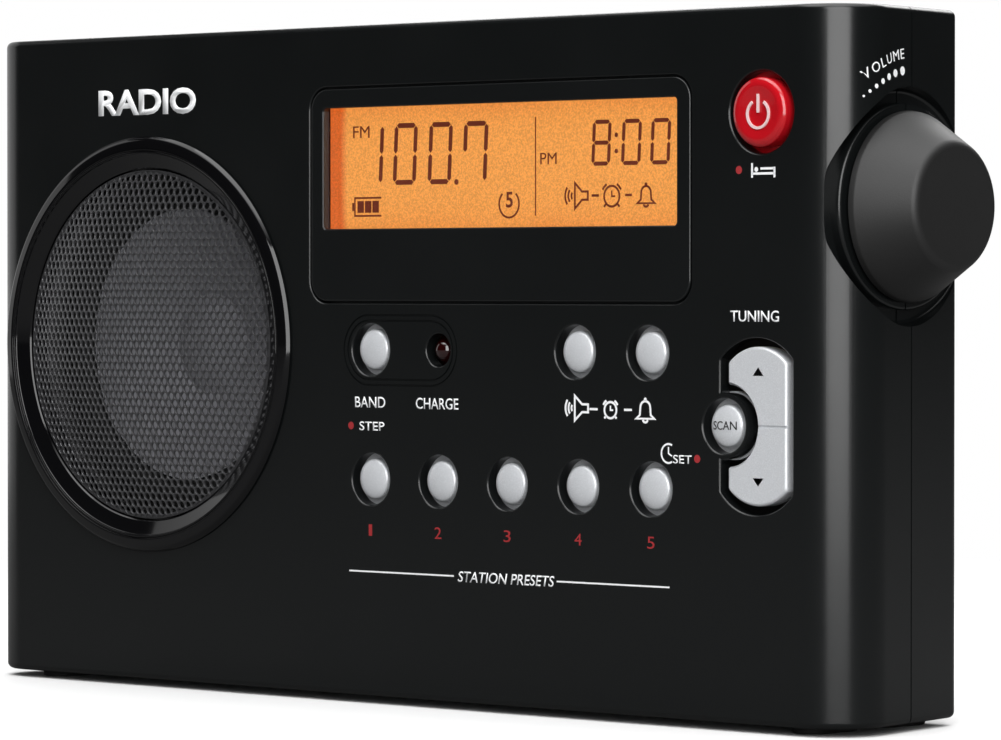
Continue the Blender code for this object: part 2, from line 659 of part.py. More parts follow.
def build_feet():
    """Four rubber bars under the casing."""
    for end, y in (("front", FOOT_FRONT_Y), ("rear", FOOT_REAR_Y)):
        for side, sign in (("left", -1), ("right", 1)):
            at = (sign * FOOT_X, y, -(FOOT_HEIGHT + GAP) / 2)
            slab(f"foot_{end}_{side}", foot_outline(), FOOT_HEIGHT - GAP, at, material=SOFT_BLACK)


def build_screws():
    """Pan-head screws in the tunnels of the rear shell."""
    for name, x, z in screw_places():
        head = SCREW_HEAD_RADIUS
        profile = [(0, SCREW_HEAD), (head * 0.7, SCREW_HEAD), (head, SCREW_HEAD * 0.5), (head, 0)]
        profile += [(SCREW_RADIUS, 0), (SCREW_RADIUS, -SCREW_LENGTH), (0, -SCREW_LENGTH)]
        at = (x, SIDE_DEPTH - SCREW_SINK + GAP, z)
        turned(name, profile, at, "+Y", material=STEEL, steps=12)


# ---- loudspeaker ----
def dome(radius, sag, steps):
    """Radius and drop of points along a shallow dome, from its apex to its edge."""
    sphere = (radius**2 + sag**2) / (2 * sag)
    reach = math.asin(radius / sphere)
    angles = [reach * i / steps for i in range(steps + 1)]
    return [(sphere * math.sin(a), -sphere * (1 - math.cos(a))) for a in angles]


def build_speaker():
    """The bezel and domed grille in front, and the driver behind them."""
    at = (SPEAKER_X, 0, SPEAKER_Z)
    inner = GRILLE_RADIUS + GAP
    barrel = -BEZEL_BARREL_DEPTH
    rest = barrel + BEZEL_LEDGE_THICK
    ledge = inner - BEZEL_LEDGE
    bezel = [(BEZEL_RIM_RADIUS - BEZEL_LIP, BEZEL_PROUD), (BEZEL_RIM_RADIUS + BEZEL_LIP, BEZEL_PROUD)]
    bezel += [(BEZEL_FOOT_RADIUS - BEZEL_LIP, BEZEL_PROUD * 0.6), (BEZEL_FOOT_RADIUS, GAP)]
    bezel += [(BEZEL_BARREL_RADIUS, GAP), (BEZEL_BARREL_RADIUS, barrel), (ledge, barrel)]
    bezel += [(ledge, rest), (inner, rest), (inner, -GRILLE_EDGE_Y)]
    turned("speaker_bezel", bezel, at, "-Y", material=GLOSS_BLACK, steps=40, ring=True)

    apex = GRILLE_SAG - GRILLE_EDGE_Y
    front = [(r, apex + drop) for r, drop in dome(GRILLE_RADIUS, GRILLE_SAG, 5)]
    back = [(r, height - GRILLE_SHEET) for r, height in reversed(front)]
    turned("speaker_grille", front + back, at, "-Y", material=GRILLE_BLACK, steps=28)

    rim = DRIVER_RADIUS
    inside = rim - FLANGE_WIDTH
    seat = CONE_EDGE_Y + CONE_THICK + GAP
    hub = MAGNET_RADIUS * 0.9
    basket = [(inside, -DRIVER_Y), (rim, -DRIVER_Y), (rim, -DRIVER_Y - FLANGE_THICK)]
    wall = BASKET_WALL
    vent = DUST_CAP_RADIUS * 0.5
    basket += [(inside + wall, -DRIVER_Y - FLANGE_THICK), (inside + wall, -seat - wall)]
    basket += [(hub + wall, -BASKET_BACK_Y), (vent, -BASKET_BACK_Y)]
    basket += [(vent, -BASKET_BACK_Y + wall), (hub, -BASKET_BACK_Y + wall)]
    basket += [(inside - 2 * wall, -seat), (inside, -seat)]
    turned("speaker_basket", basket, at, "-Y", material=STEEL, ring=True)

    roll_out = inside - GAP
    roll_in = CONE_RADIUS + GAP
    top = -CONE_EDGE_Y
    crest = top + SURROUND_RISE
    land = SURROUND_LAND
    surround = [(roll_in, top), (roll_in + land, top), (roll_in + 2 * land, crest)]
    surround += [(roll_out - 3 * land, crest), (roll_out - 2 * land, top), (roll_out, top)]
    surround += [(r, height - CONE_THICK) for r, height in reversed(surround)]
    turned("speaker_surround", surround, at, "-Y", material=SOFT_BLACK, ring=True)

    throat = -(CONE_EDGE_Y + CONE_DEPTH)
    cap = [(r, throat + DUST_CAP_SAG + drop) for r, drop in dome(DUST_CAP_RADIUS, DUST_CAP_SAG, 3)]
    cone = cap + [(CONE_RADIUS, top), (CONE_RADIUS, top - CONE_THICK)]
    cone += [(r, height - CONE_THICK) for r, height in reversed(cap)]
    turned("speaker_cone", cone, at, "-Y", material=PAPER)

    magnet_at = (SPEAKER_X, BASKET_BACK_Y + GAP, SPEAKER_Z)
    rod("speaker_magnet", MAGNET_RADIUS, MAGNET_DEPTH, magnet_at, "+Y", material=FERRITE)


# ---- display ----
def window_layer(name, y, thick, border, material):
    """A flat layer behind the display window, wider than it by a border."""
    low = (WINDOW_LEFT - border, y, WINDOW_BOTTOM - border)
    high = (WINDOW_RIGHT + border, y + thick, WINDOW_TOP + border)
    return block(name, low, high, material=material)


def build_display():
    """The trim plate in its pocket, and the lens, LCD and backlight behind the window."""
    outline = rounded_box(PLATE_LEFT, PLATE_RIGHT, PLATE_BOTTOM, PLATE_TOP, PLATE_ROUND)
    at = (0, PLATE_THICK / 2, 0)
    plate = slab("display_plate", outline, PLATE_THICK, at, FRONT_TURN, material=SATIN_BLACK)
    window = rounded_box(WINDOW_LEFT, WINDOW_RIGHT, WINDOW_BOTTOM, WINDOW_TOP, WINDOW_ROUND)
    cutter = slab("plate_window", window, 4 * PLATE_THICK, (0, 0, 0), FRONT_TURN, cutters)
    boolean(plate, cutter)
    window_layer("display_lens", LENS_Y, LENS_THICK, LENS_BORDER, CLEAR)
    window_layer("lcd_panel", LCD_Y, LCD_THICK, LENS_BORDER, LCD)
    window_layer("lcd_backlight", LIGHT_Y, LIGHT_THICK, LENS_BORDER, BACKLIGHT)


# ---- front controls ----
def build_button(name, x, z, radius):
    """A domed push button with a flange behind the panel and a stem to its switch."""
    flange = radius + FLANGE_LAP
    crown = [(r, BUTTON_PROUD + drop) for r, drop in dome(radius * 0.94, BUTTON_PROUD * 0.55, 2)]
    skirt = [(radius, BUTTON_PROUD * 0.2), (radius, -BUTTON_FLANGE_Y), (flange, -BUTTON_FLANGE_Y)]
    back = -BUTTON_FLANGE_Y - BUTTON_FLANGE
    stem = [(flange, back), (STEM_RADIUS, back), (STEM_RADIUS, -STEM_END_Y), (0, -STEM_END_Y)]
    material = RED if name == "power_button" else SILVER
    turned(name, crown + skirt + stem, (x, 0, z), "-Y", material=material, steps=14)


def build_rocker():
    """The tuning rocker on its pin, with a bite round the scan button and two stems."""
    axis = pivot("rocker_pivot", (ROCKER_X, ROCKER_PIVOT_Y, SCAN_Z))
    thick = ROCKER_PROUD + ROCKER_BACK_Y
    at = (ROCKER_X, thick / 2 - ROCKER_PROUD, SCAN_Z)
    rocker = slab("tuning_rocker", rocker_outline(0), thick, at, FRONT_TURN, material=SILVER)
    bite = rod("rocker_bite", ROCKER_BITE, LONG, (SCAN_X, LONG / 2, SCAN_Z), "-Y", cutters, steps=32)
    boolean(rocker, bite)
    right = ROCKER_X + ROCKER_HALF_WIDTH
    boss_low = (SCAN_X + ROCKER_BITE + GAP, ROCKER_BACK_Y - GAP, SCAN_Z - ROCKER_BOSS_HALF)
    boss_high = (right, ROCKER_PIVOT_Y + ROCKER_BOSS_HALF, SCAN_Z + ROCKER_BOSS_HALF)
    boolean(rocker, block("rocker_boss", boss_low, boss_high, cutters), "UNION")
    for i, side in enumerate((-1, 1)):
        foot = (ROCKER_X, STEM_END_Y, SCAN_Z + side * ROCKER_STEM_Z)
        length = STEM_END_Y - ROCKER_BACK_Y + GAP
        stem = rod(f"rocker_stem_{i}", STEM_RADIUS, length, foot, "-Y", cutters, steps=12)
        boolean(rocker, stem, "UNION")
    bore_at = (ROCKER_X - LONG / 2, ROCKER_PIVOT_Y, SCAN_Z)
    boolean(rocker, rod("rocker_bore", PIN_RADIUS + GAP / 2, LONG, bore_at, "+X", cutters, steps=12))
    hang(rocker, axis)
    pin_start = SCAN_X + ROCKER_BITE + 2 * GAP
    pin_end = right + ROCKER_CLEAR + GAP + PIN_POST_HOLD
    pin_at = (pin_start, ROCKER_PIVOT_Y, SCAN_Z)
    rod("rocker_pin", PIN_RADIUS, pin_end - pin_start, pin_at, "+X", material=STEEL, steps=12)


def build_charge_led():
    """A domed indicator with a flange behind the panel."""
    flange = CHARGE_HOLE + CHARGE_LAP
    shoulder = -CHARGE_SHOULDER_Y
    profile = [(r, drop - CHARGE_SINK) for r, drop in dome(CHARGE_RADIUS, CHARGE_SAG, 4)]
    profile += [(CHARGE_RADIUS, shoulder), (flange, shoulder), (flange, -STEM_END_Y), (0, -STEM_END_Y)]
    turned("charge_led", profile, (CHARGE_X, 0, UPPER_ROW_Z), "-Y", material=LED_RED, steps=SMALL_STEPS)


def build_volume():
    """The knob and its shaft, and the control behind them."""
    axis = pivot("volume_axis", (KNOB_BASE_X, KNOB_Y, KNOB_Z))
    length = KNOB_LENGTH
    soft = KNOB_SOFT
    knob = [(0, length - soft * 0.5), (KNOB_END_RADIUS * 0.7, length - soft * 0.2)]
    knob += [(KNOB_END_RADIUS - soft, length), (KNOB_END_RADIUS, length - soft)]
    knob += [(KNOB_BASE_RADIUS - soft * 0.4, soft), (KNOB_BASE_RADIUS, soft * 0.4), (KNOB_BASE_RADIUS, 0)]
    bore = SHAFT_RADIUS + SHAFT_FIT
    knob += [(bore, 0), (bore, SHAFT_DEPTH + GAP), (0, SHAFT_DEPTH + GAP)]
    at = (KNOB_BASE_X, KNOB_Y, KNOB_Z)
    hang(turned("volume_knob", knob, at, "+X", material=SOFT_BLACK, steps=32), axis)
    shaft_start = POT_FRONT_X - POT_LENGTH / 2
    shaft_length = KNOB_BASE_X + SHAFT_DEPTH - shaft_start
    shaft_at = (shaft_start, KNOB_Y, KNOB_Z)
    shaft = rod("volume_shaft", SHAFT_RADIUS, shaft_length, shaft_at, "+X", steps=SMALL_STEPS)
    shaft.data.materials.append(STEEL)
    hang(shaft, axis)
    nose = KNOB_SEAT_X - POT_FRONT_X
    bore_depth = shaft_start - GAP - POT_FRONT_X
    pot = [(0, bore_depth), (bore, bore_depth), (bore, nose), (BUSH_RADIUS, nose), (BUSH_RADIUS, 0)]
    pot += [(POT_RADIUS, 0), (POT_RADIUS, -POT_LENGTH), (0, -POT_LENGTH)]
    turned("volume_control", pot, (POT_FRONT_X, KNOB_Y, KNOB_Z), "+X", material=STEEL)


# ---- electronics ----
def build_electronics():
    """The key mat, the main board, the power switch and the aerial coil on its ferrite rod."""
    row_left = PRESET_FIRST_X - KEY_MAT_MARGIN
    row_right = ROCKER_X + KEY_MAT_MARGIN
    mat_low = (row_left, KEY_MAT_Y, PRESET_Z - KEY_MAT_MARGIN)
    mat_high = (row_right, KEY_MAT_Y + KEY_MAT_THICK, UPPER_ROW_Z + KEY_MAT_MARGIN)
    block("key_mat", mat_low, mat_high, material=SOFT_BLACK)
    half = SWITCH_SIZE / 2
    switch_low = (POWER_X - half, KEY_MAT_Y, POWER_Z - half)
    switch_high = (POWER_X + half, KEY_MAT_Y + KEY_MAT_THICK, POWER_Z + half)
    block("power_switch", switch_low, switch_high, material=SOFT_BLACK)
    board_low = (BOARD_LEFT, BOARD_FRONT_Y, BOARD_BOTTOM)
    board_high = (BOARD_RIGHT, BOARD_FRONT_Y + BOARD_THICK, BOARD_TOP)
    board = block("main_board", board_low, board_high, material=BOARD_GREEN)
    room = POT_RADIUS + POT_ROOM
    notch_low = (POT_FRONT_X - POT_LENGTH - GAP, 0, KNOB_Z - room)
    boolean(board, block("board_notch", notch_low, (CASE_WIDTH, SIDE_DEPTH, KNOB_Z + room), cutters))
    start = (FERRITE_X - FERRITE_LENGTH / 2, FERRITE_Y, FERRITE_Z)
    rod("ferrite_rod", FERRITE_RADIUS, FERRITE_LENGTH, start, "+X", material=FERRITE, steps=SMALL_STEPS)
    inner = FERRITE_RADIUS + GAP
    outer = inner + COIL_WALL
    coil = [(inner, COIL_LENGTH), (outer, COIL_LENGTH), (outer, 0), (inner, 0)]
    coil_at = (start[0] + COIL_LENGTH / 2, FERRITE_Y, FERRITE_Z)
    turned("aerial_coil", coil, coil_at, "+X", material=COPPER, steps=SMALL_STEPS, ring=True)


def build_jacks():
    """Two round audio jacks and a power inlet with its centre pin."""
    nose_x = -CASE_WIDTH / 2 + (JACK_Y - CORNER_RADIUS) * math.tan(SIDE_TAPER) + JACK_INSET
    for name, radius, z in jack_places():
        at = (nose_x, JACK_Y, z)
        deep = -JACK_LENGTH + JACK_FLOOR
        if name == "dc_jack":
            profile = [(0, -DC_PIN_SINK), (DC_PIN_RADIUS, -DC_PIN_SINK), (DC_PIN_RADIUS, deep)]
            profile += [(DC_JACK_BORE, deep), (DC_JACK_BORE, 0)]
        else:
            profile = [(0, deep), (JACK_BORE, deep), (JACK_BORE, 0)]
        profile += [(radius, 0), (radius, -JACK_LENGTH), (0, -JACK_LENGTH)]
        turned(name, profile, at, "-X", material=GLOSS_BLACK, steps=SMALL_STEPS)


# ---- battery bay ----
def build_battery_bay():
    """Four cells, their contact plates and the hinged door."""
    for i in range(4):
        row, column = divmod(i, 2)
        length = CELL_LENGTH - CELL_NUB
        profile = [(0, CELL_LENGTH), (CELL_NUB_RADIUS, CELL_LENGTH), (CELL_NUB_RADIUS, length)]
        profile += [(CELL_RADIUS, length), (CELL_RADIUS, 0), (0, 0)]
        z = BAY_BOTTOM + CELL_PITCH_Z * (row + 0.5)
        x = GAP / 2 if column else -CELL_LENGTH - GAP / 2
        cell = turned(f"battery_cell_{i + 1}", profile, (x, CELL_Y, z), "+X", steps=SMALL_STEPS)
        cell.data.materials.append(CELL_JACKET)
    inner = CELL_LENGTH + 1.5 * GAP
    margin = CONTACT_MARGIN
    for side, left in (("left", -inner - CONTACT_THICK), ("right", inner)):
        low = (left, BAY_FRONT_Y + margin, BAY_BOTTOM + margin)
        high = (left + CONTACT_THICK, DOOR_Y - 2 * margin, BAY_TOP - margin)
        block(f"battery_contact_{side}", low, high, material=STEEL)
    axis = pivot("door_hinge", (0, HUMP_Y, DOOR_BOTTOM))
    half = BAY_HALF_WIDTH + DOOR_LAP
    door_high = (half, HUMP_Y, BAY_TOP + DOOR_LAP)
    door = block("battery_door", (-half, DOOR_Y, DOOR_BOTTOM), door_high, material=SATIN_BLACK)
    hang(door, axis)


# ---- aerial ----
def build_aerial():
    """The turret, its pin and retaining ring, and three telescoping sections with a tip."""
    x, y, z = AERIAL_PIVOT_X, AERIAL_Y, AERIAL_Z
    turn = pivot("aerial_turn", (x, y, z))
    tilt = pivot("aerial_tilt", (x, y, z))
    base_z = HUMP_TOP + GAP
    base_top = base_z + FORK_BASE
    profile = [(0, FORK_BASE), (FORK_RADIUS, FORK_BASE), (FORK_RADIUS, 0)]
    profile += [(SPIGOT_RADIUS, 0), (SPIGOT_RADIUS, -SPIGOT_LENGTH), (0, -SPIGOT_LENGTH)]
    turret = turned("aerial_turret", profile, (x, y, base_z), "+Z", material=GLOSS_BLACK)
    for i, side in enumerate((-1, 1)):
        near = side * FORK_GAP / 2
        far = side * (FORK_GAP / 2 + FORK_CHEEK)
        low = (x - FORK_HALF_WIDTH, y + min(near, far), base_top - GAP)
        high = (x + FORK_HALF_WIDTH, y + max(near, far), z + KNUCKLE_RADIUS)
        boolean(turret, block(f"cheek_{i}", low, high, cutters), "UNION")
    pin_half = FORK_GAP / 2 + FORK_CHEEK
    across = (x, y - pin_half - LONG / 2, z)
    bore = AERIAL_PIN_RADIUS + GAP / 2
    boolean(turret, rod("turret_bore", bore, 2 * pin_half + LONG, across, "+Y", cutters, steps=12))
    hang(turret, turn)
    pin_at = (x, y - pin_half, z)
    pin = rod("aerial_pin", AERIAL_PIN_RADIUS, 2 * pin_half, pin_at, "+Y", material=STEEL, steps=12)
    hang(pin, turn)
    ring_top = HUMP_TOP - WALL - GAP - base_z
    inner = SPIGOT_RADIUS + GAP / 2
    ring = [(inner, ring_top), (AERIAL_RING_RADIUS, ring_top)]
    ring_low = ring_top - AERIAL_RING_THICK
    ring += [(AERIAL_RING_RADIUS, ring_low), (inner, ring_low)]
    ring = turned("aerial_ring", ring, (x, y, base_z), "+Z", steps=SMALL_STEPS, ring=True)
    ring.data.materials.append(STEEL)
    hang(ring, turn)

    bore_radius = AERIAL_PIN_RADIUS + GAP / 2
    for i, radius in enumerate(AERIAL_RADII):
        start = AERIAL_ROOT + i * AERIAL_STEP
        length = AERIAL_SECTION - AERIAL_ROOT
        last = i == len(AERIAL_RADII) - 1
        if last:
            tip = length + AERIAL_TIP_LENGTH
            profile = [(0, tip), (AERIAL_TIP_RADIUS * 0.7, tip), (AERIAL_TIP_RADIUS, tip - AERIAL_TIP_ROUND)]
            profile += [(AERIAL_TIP_RADIUS, length + GAP), (radius, length + GAP), (radius, 0), (0, 0)]
        else:
            bore = radius - AERIAL_TUBE_WALL
            floor = AERIAL_STEP - GAP
            profile = [(0, floor), (bore, floor), (bore, length), (radius, length), (radius, 0), (0, 0)]
        at = (x + start, y, z)
        section = turned(f"aerial_section_{i + 1}", profile, at, "+X", material=STEEL, steps=SMALL_STEPS)
        if i == 0:
            tongue = FORK_GAP / 2 - GAP
            low = (x - KNUCKLE_RADIUS, y - tongue, z - KNUCKLE_RADIUS * 0.8)
            high = (x + AERIAL_ROOT + GAP, y + tongue, z + KNUCKLE_RADIUS * 0.8)
            boolean(section, block("knuckle", low, high, cutters), "UNION")
            through = (x, y - LONG / 2, z)
            boolean(section, rod("knuckle_bore", bore_radius, LONG, through, "+Y", cutters, steps=12))
        hang(section, tilt)


build_front_shell()
build_rear_shell()
build_feet()
build_screws()
build_speaker()
build_display()
for button in button_places():
    build_button(*button)
build_rocker()
build_charge_led()
build_volume()
build_electronics()
build_jacks()
build_battery_bay()
build_aerial()
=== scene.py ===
"""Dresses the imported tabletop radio: shells, speaker, display, keys, knob, legends and studio.

Sizes are in metres, in the casing's own frame: X from the casing's middle, Y back from the front
panel, Z up from the underside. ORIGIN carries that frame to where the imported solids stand.
"""

import logging
from collections.abc import Callable, Sequence
from dataclasses import dataclass, field
from enum import Enum
from functools import cache
from math import asin, cos, degrees, hypot, pi, radians, sin, sqrt, tan
from typing import Any

import bmesh
import bpy
from mathutils import Matrix, Vector


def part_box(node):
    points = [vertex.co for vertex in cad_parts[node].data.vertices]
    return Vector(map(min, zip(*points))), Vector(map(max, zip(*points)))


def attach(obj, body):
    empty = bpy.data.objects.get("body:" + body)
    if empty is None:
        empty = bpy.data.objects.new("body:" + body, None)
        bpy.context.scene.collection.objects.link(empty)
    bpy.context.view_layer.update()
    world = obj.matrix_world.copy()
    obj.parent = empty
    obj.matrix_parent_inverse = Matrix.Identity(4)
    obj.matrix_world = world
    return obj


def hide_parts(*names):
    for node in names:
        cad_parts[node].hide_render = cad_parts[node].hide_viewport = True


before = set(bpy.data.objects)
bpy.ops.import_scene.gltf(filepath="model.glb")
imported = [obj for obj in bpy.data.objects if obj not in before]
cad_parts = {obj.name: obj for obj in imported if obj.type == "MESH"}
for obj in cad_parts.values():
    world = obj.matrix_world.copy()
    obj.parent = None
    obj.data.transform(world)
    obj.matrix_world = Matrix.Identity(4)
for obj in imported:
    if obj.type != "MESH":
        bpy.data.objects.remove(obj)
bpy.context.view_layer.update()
log = logging.getLogger("radio")

Point = tuple[float, float]
Profile = tuple[Point, ...]
Colour = tuple[float, float, float]
Object = bpy.types.Object

SHELL_LOW, SHELL_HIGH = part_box("front_shell")
ORIGIN = Vector(((SHELL_LOW.x + SHELL_HIGH.x) / 2, SHELL_LOW.y, SHELL_LOW.z))
POLE = 1e-9  # a profile point nearer the axis than this is a pole
GAP = 0.0003  # clearance between neighbouring pieces
FAR = 0.02  # how far a cutter runs on past what it cuts
MM = 0.001  # legends are laid out in millimetres


# ---- places in the frame ----
def corners(node: str) -> tuple[Vector, Vector]:
    """Gives a CAD node's box in the casing's frame.

    Args:
        node: the node's name.

    Returns:
        Its lowest and highest corner.
    """
    low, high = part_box(node)
    return low - ORIGIN, high - ORIGIN


def centre_of(node: str) -> Vector:
    """Returns the middle of a CAD node's box in the casing's frame."""
    low, high = corners(node)
    return (low + high) / 2


def on_face(node: str) -> Vector:
    """Returns the point of the front panel's plane before a CAD node's middle."""
    middle = centre_of(node)
    return Vector((middle.x, 0, middle.z))


# ---- outlines and profiles ----
def arc(x: float, y: float, radius: float, start: float, end: float, steps: int) -> list[Point]:
    """Returns the points of an arc between two angles in degrees, both ends included."""
    turns = [radians(start + (end - start) * i / steps) for i in range(steps + 1)]
    return [(x + radius * cos(t), y + radius * sin(t)) for t in turns]


def rounded_box(left: float, right: float, bottom: float, top: float, radius: float) -> list[Point]:
    """Returns the outline of a rectangle with round corners, anticlockwise."""
    steps = 10
    points = arc(right - radius, bottom + radius, radius, -90, 0, steps)
    points += arc(right - radius, top - radius, radius, 0, 90, steps)
    points += arc(left + radius, top - radius, radius, 90, 180, steps)
    return points + arc(left + radius, bottom + radius, radius, 180, 270, steps)


def soften(path: Sequence[Point], radii: Sequence[float], steps: int = 5) -> list[Point]:
    """Rounds the corners of an open path.

    Args:
        path: the corners in order.
        radii: a fillet radius for each point, 0 to leave it sharp; the ends stay.
        steps: segments in each fillet.

    Returns:
        The softened path.
    """
    points: list[Point] = []
    for i, (corner, radius) in enumerate(zip(path, radii)):
        if radius <= 0 or i in (0, len(path) - 1):
            points.append(tuple(corner))
            continue
        here = Vector(corner)
        back, on = (Vector(path[i - 1]) - here).normalized(), (Vector(path[i + 1]) - here).normalized()
        half = back.angle(on) / 2
        hub = here + (back + on).normalized() * (radius / sin(half))
        first, last = here + back * (radius / tan(half)), here + on * (radius / tan(half))
        for k in range(steps + 1):
            spoke = (first - hub).lerp(last - hub, k / steps).normalized() * radius
            points.append(tuple(hub + spoke))
    return points


def dome(radius: float, sag: float, steps: int) -> list[Point]:
    """Returns radius and drop of points down a shallow dome, from its apex to its edge."""
    sphere = (radius**2 + sag**2) / (2 * sag)
    reach = asin(radius / sphere)
    angles = [reach * i / steps for i in range(steps + 1)]
    return [(sphere * sin(a), -sphere * (1 - cos(a))) for a in angles]


def mouth(fillet: float, steps: int = 4) -> list[Point]:
    """Gives the section of a rounded opening edge.

    Args:
        fillet: the edge's radius.
        steps: segments in it.

    Returns:
        (growth, height) pairs from above the surface down to where the bore is straight.
    """
    points = [(2 * fillet, 0.9 * fillet)]
    for i in range(steps + 1):
        a = radians(25 + 65 * i / steps)
        points.append((fillet * (1 - sin(a)), -fillet * (1 - cos(a))))
    return points


# ---- solids ----
class Facing(Enum):
    """The way a turned piece faces: two axes across it and the one that it faces along."""

    FRONT = ((1, 0, 0), (0, 0, 1), (0, -1, 0))
    BACK = ((-1, 0, 0), (0, 0, 1), (0, 1, 0))
    RIGHT = ((0, 1, 0), (0, 0, 1), (1, 0, 0))
    LEFT = ((0, -1, 0), (0, 0, 1), (-1, 0, 0))
    UP = ((1, 0, 0), (0, 1, 0), (0, 0, 1))

    def axes(self) -> tuple[Vector, Vector, Vector]:
        """Returns the three axes as vectors."""
        across, up, ahead = self.value
        return Vector(across), Vector(up), Vector(ahead)


def skin(shape: bmesh.types.BMesh, one: Sequence[bmesh.types.BMVert],
         two: Sequence[bmesh.types.BMVert]) -> None:
    """Joins two closed rows of vertices with faces.

    Args:
        shape: the mesh that they belong to.
        one: the first row; a row of one vertex is a pole.
        two: the second row.
    """
    count = max(len(one), len(two))
    for i in range(count):
        j = (i + 1) % count
        if len(one) == 1 and len(two) == 1:
            return
        if len(one) == 1:
            shape.faces.new((one[0], two[i], two[j]))
        elif len(two) == 1:
            shape.faces.new((one[i], one[j], two[0]))
        else:
            shape.faces.new((one[i], one[j], two[j], two[i]))


def link(made: Object) -> None:
    """Puts a new object into the scene."""
    bpy.context.scene.collection.objects.link(made)


def stand(name: str, shape: bmesh.types.BMesh) -> Object:
    """Makes an object of a shape that was drawn in the casing's frame.

    Args:
        name: the object's name.
        shape: its mesh, freed here.

    Returns:
        The object, at the origin, with its place in its mesh.
    """
    bmesh.ops.recalc_face_normals(shape, faces=shape.faces)
    mesh = bpy.data.meshes.new(name)
    shape.to_mesh(mesh)
    shape.free()
    mesh.transform(Matrix.Translation(ORIGIN))
    made = bpy.data.objects.new(name, mesh)
    link(made)
    return made


def loft(name: str, rows: Sequence[Sequence[Vector]], ring: bool = False) -> Object:
    """Skins closed rows of points with the same count.

    Args:
        name: the object's name.
        rows: the rows in order.
        ring: True where the last row joins the first, in place of two end caps.

    Returns:
        The closed solid.
    """
    shape = bmesh.new()
    made = [[shape.verts.new(p) for p in row] for row in rows]
    for one, two in zip(made, made[1:]):
        skin(shape, one, two)
    if ring:
        skin(shape, made[-1], made[0])
    else:
        for row in (made[0], made[-1]):
            if len(row) > 2:
                shape.faces.new(row)
    return stand(name, shape)


def lathe(name: str, profile: Sequence[Point], at: Vector, facing: Facing, steps: int = 96,
          ring: bool = False) -> Object:
    """Turns a profile of (radius, height) pairs about the axis that a piece faces along.

    Args:
        name: the object's name.
        profile: the pairs in order.
        at: the point of height 0 on the axis.
        facing: the way that heights run.
        steps: segments round.
        ring: True where the profile closes on itself.

    Returns:
        The turned solid.
    """
    across, up, ahead = facing.axes()
    rows = []
    for radius, height in profile:
        hub = Vector(at) + ahead * height
        turns = [2 * pi * (i + 0.37) / steps for i in range(1 if radius < POLE else steps)]
        rows.append([hub + (across * cos(t) + up * sin(t)) * max(radius, 0) for t in turns])
    return loft(name, rows, ring)


def rod(name: str, radius: float, start: float, end: float, at: Vector, facing: Facing, steps: int) -> Object:
    """Returns a plain cylinder between two heights."""
    return lathe(name, [(0.0, start), (radius, start), (radius, end), (0.0, end)], at, facing, steps)


def front_loft(name: str, outline: Callable[[float], list[Point]], section: Sequence[Point],
               ring: bool = False) -> Object:
    """Lofts an outline of the front panel's plane through a section of (growth, height) pairs."""
    rows = [[Vector((x, -height, z)) for x, z in outline(grow)] for grow, height in section]
    return loft(name, rows, ring)


def bore(name: str, radius: float, fillet: float, at: Point, depth: float) -> Object:
    """Makes a cutter for a round hole in the front panel.

    Args:
        name: the cutter's name.
        radius: the hole's radius.
        fillet: the radius of its rounded edge.
        at: its centre on the panel.
        depth: how deep it goes.

    Returns:
        The cutter.
    """
    rim = [(radius + grow, height) for grow, height in mouth(fillet)]
    profile = [(0.0, rim[0][1]), *rim, (radius, -depth), (0.0, -depth)]
    return lathe(name, profile, Vector((at[0], 0, at[1])), Facing.FRONT, 64)


def block(name: str, low: Sequence[float], high: Sequence[float], round_off: float = 0.0) -> Object:
    """Makes a box between two corners, with its edges rounded off."""
    shape = bmesh.new()
    size = Vector(high) - Vector(low)
    bmesh.ops.create_cube(shape, size=1.0)
    bmesh.ops.scale(shape, vec=size, verts=shape.verts)
    bmesh.ops.translate(shape, vec=(Vector(high) + Vector(low)) / 2, verts=shape.verts)
    if round_off > 0:
        bmesh.ops.bevel(shape, geom=shape.edges[:], offset=round_off, segments=4, profile=0.5,
                        affect="EDGES", clamp_overlap=True)
    return stand(name, shape)


def settle(piece: Object) -> Object:
    """Turns a piece's live modifiers into its plain mesh."""
    bpy.context.view_layer.update()
    seen = piece.evaluated_get(bpy.context.evaluated_depsgraph_get())
    mesh = bpy.data.meshes.new_from_object(seen)
    piece.modifiers.clear()
    mesh.name = piece.name
    piece.data = mesh
    return piece


def drop(*pieces: Object) -> None:
    """Removes helper objects."""
    for piece in pieces:
        bpy.data.objects.remove(piece, do_unlink=True)


def combine(target: Object, tools: Sequence[Object], operation: str = "DIFFERENCE") -> Object:
    """Cuts a piece with each tool in turn, or joins them to it, and removes the tools.

    Args:
        target: the piece.
        tools: closed solids.
        operation: DIFFERENCE, UNION or INTERSECT.

    Returns:
        The piece, with a plain mesh.
    """
    for tool in tools:
        modifier = target.modifiers.new(operation.lower(), "BOOLEAN")
        modifier.operation = operation
        modifier.solver = "EXACT"
        modifier.object = tool
    settle(target)
    drop(*tools)
    return target


def gather(target: Object, others: Sequence[Object]) -> Object:
    """Puts other solids into a piece's mesh as they are."""
    shape = bmesh.new()
    for piece in (target, *others):
        shape.from_mesh(piece.data)
    shape.to_mesh(target.data)
    shape.free()
    drop(*others)
    return target


def polish(piece: Object, angle: float = 30.0) -> Object:
    """Shades a piece smooth between edges sharper than an angle in degrees, by face area."""
    piece.data.shade_smooth()
    piece.data.set_sharp_from_angle(angle=radians(angle))
    weighted = piece.modifiers.new("weighted", "WEIGHTED_NORMAL")
    weighted.keep_sharp = True
    weighted.weight = 80
    return settle(piece)


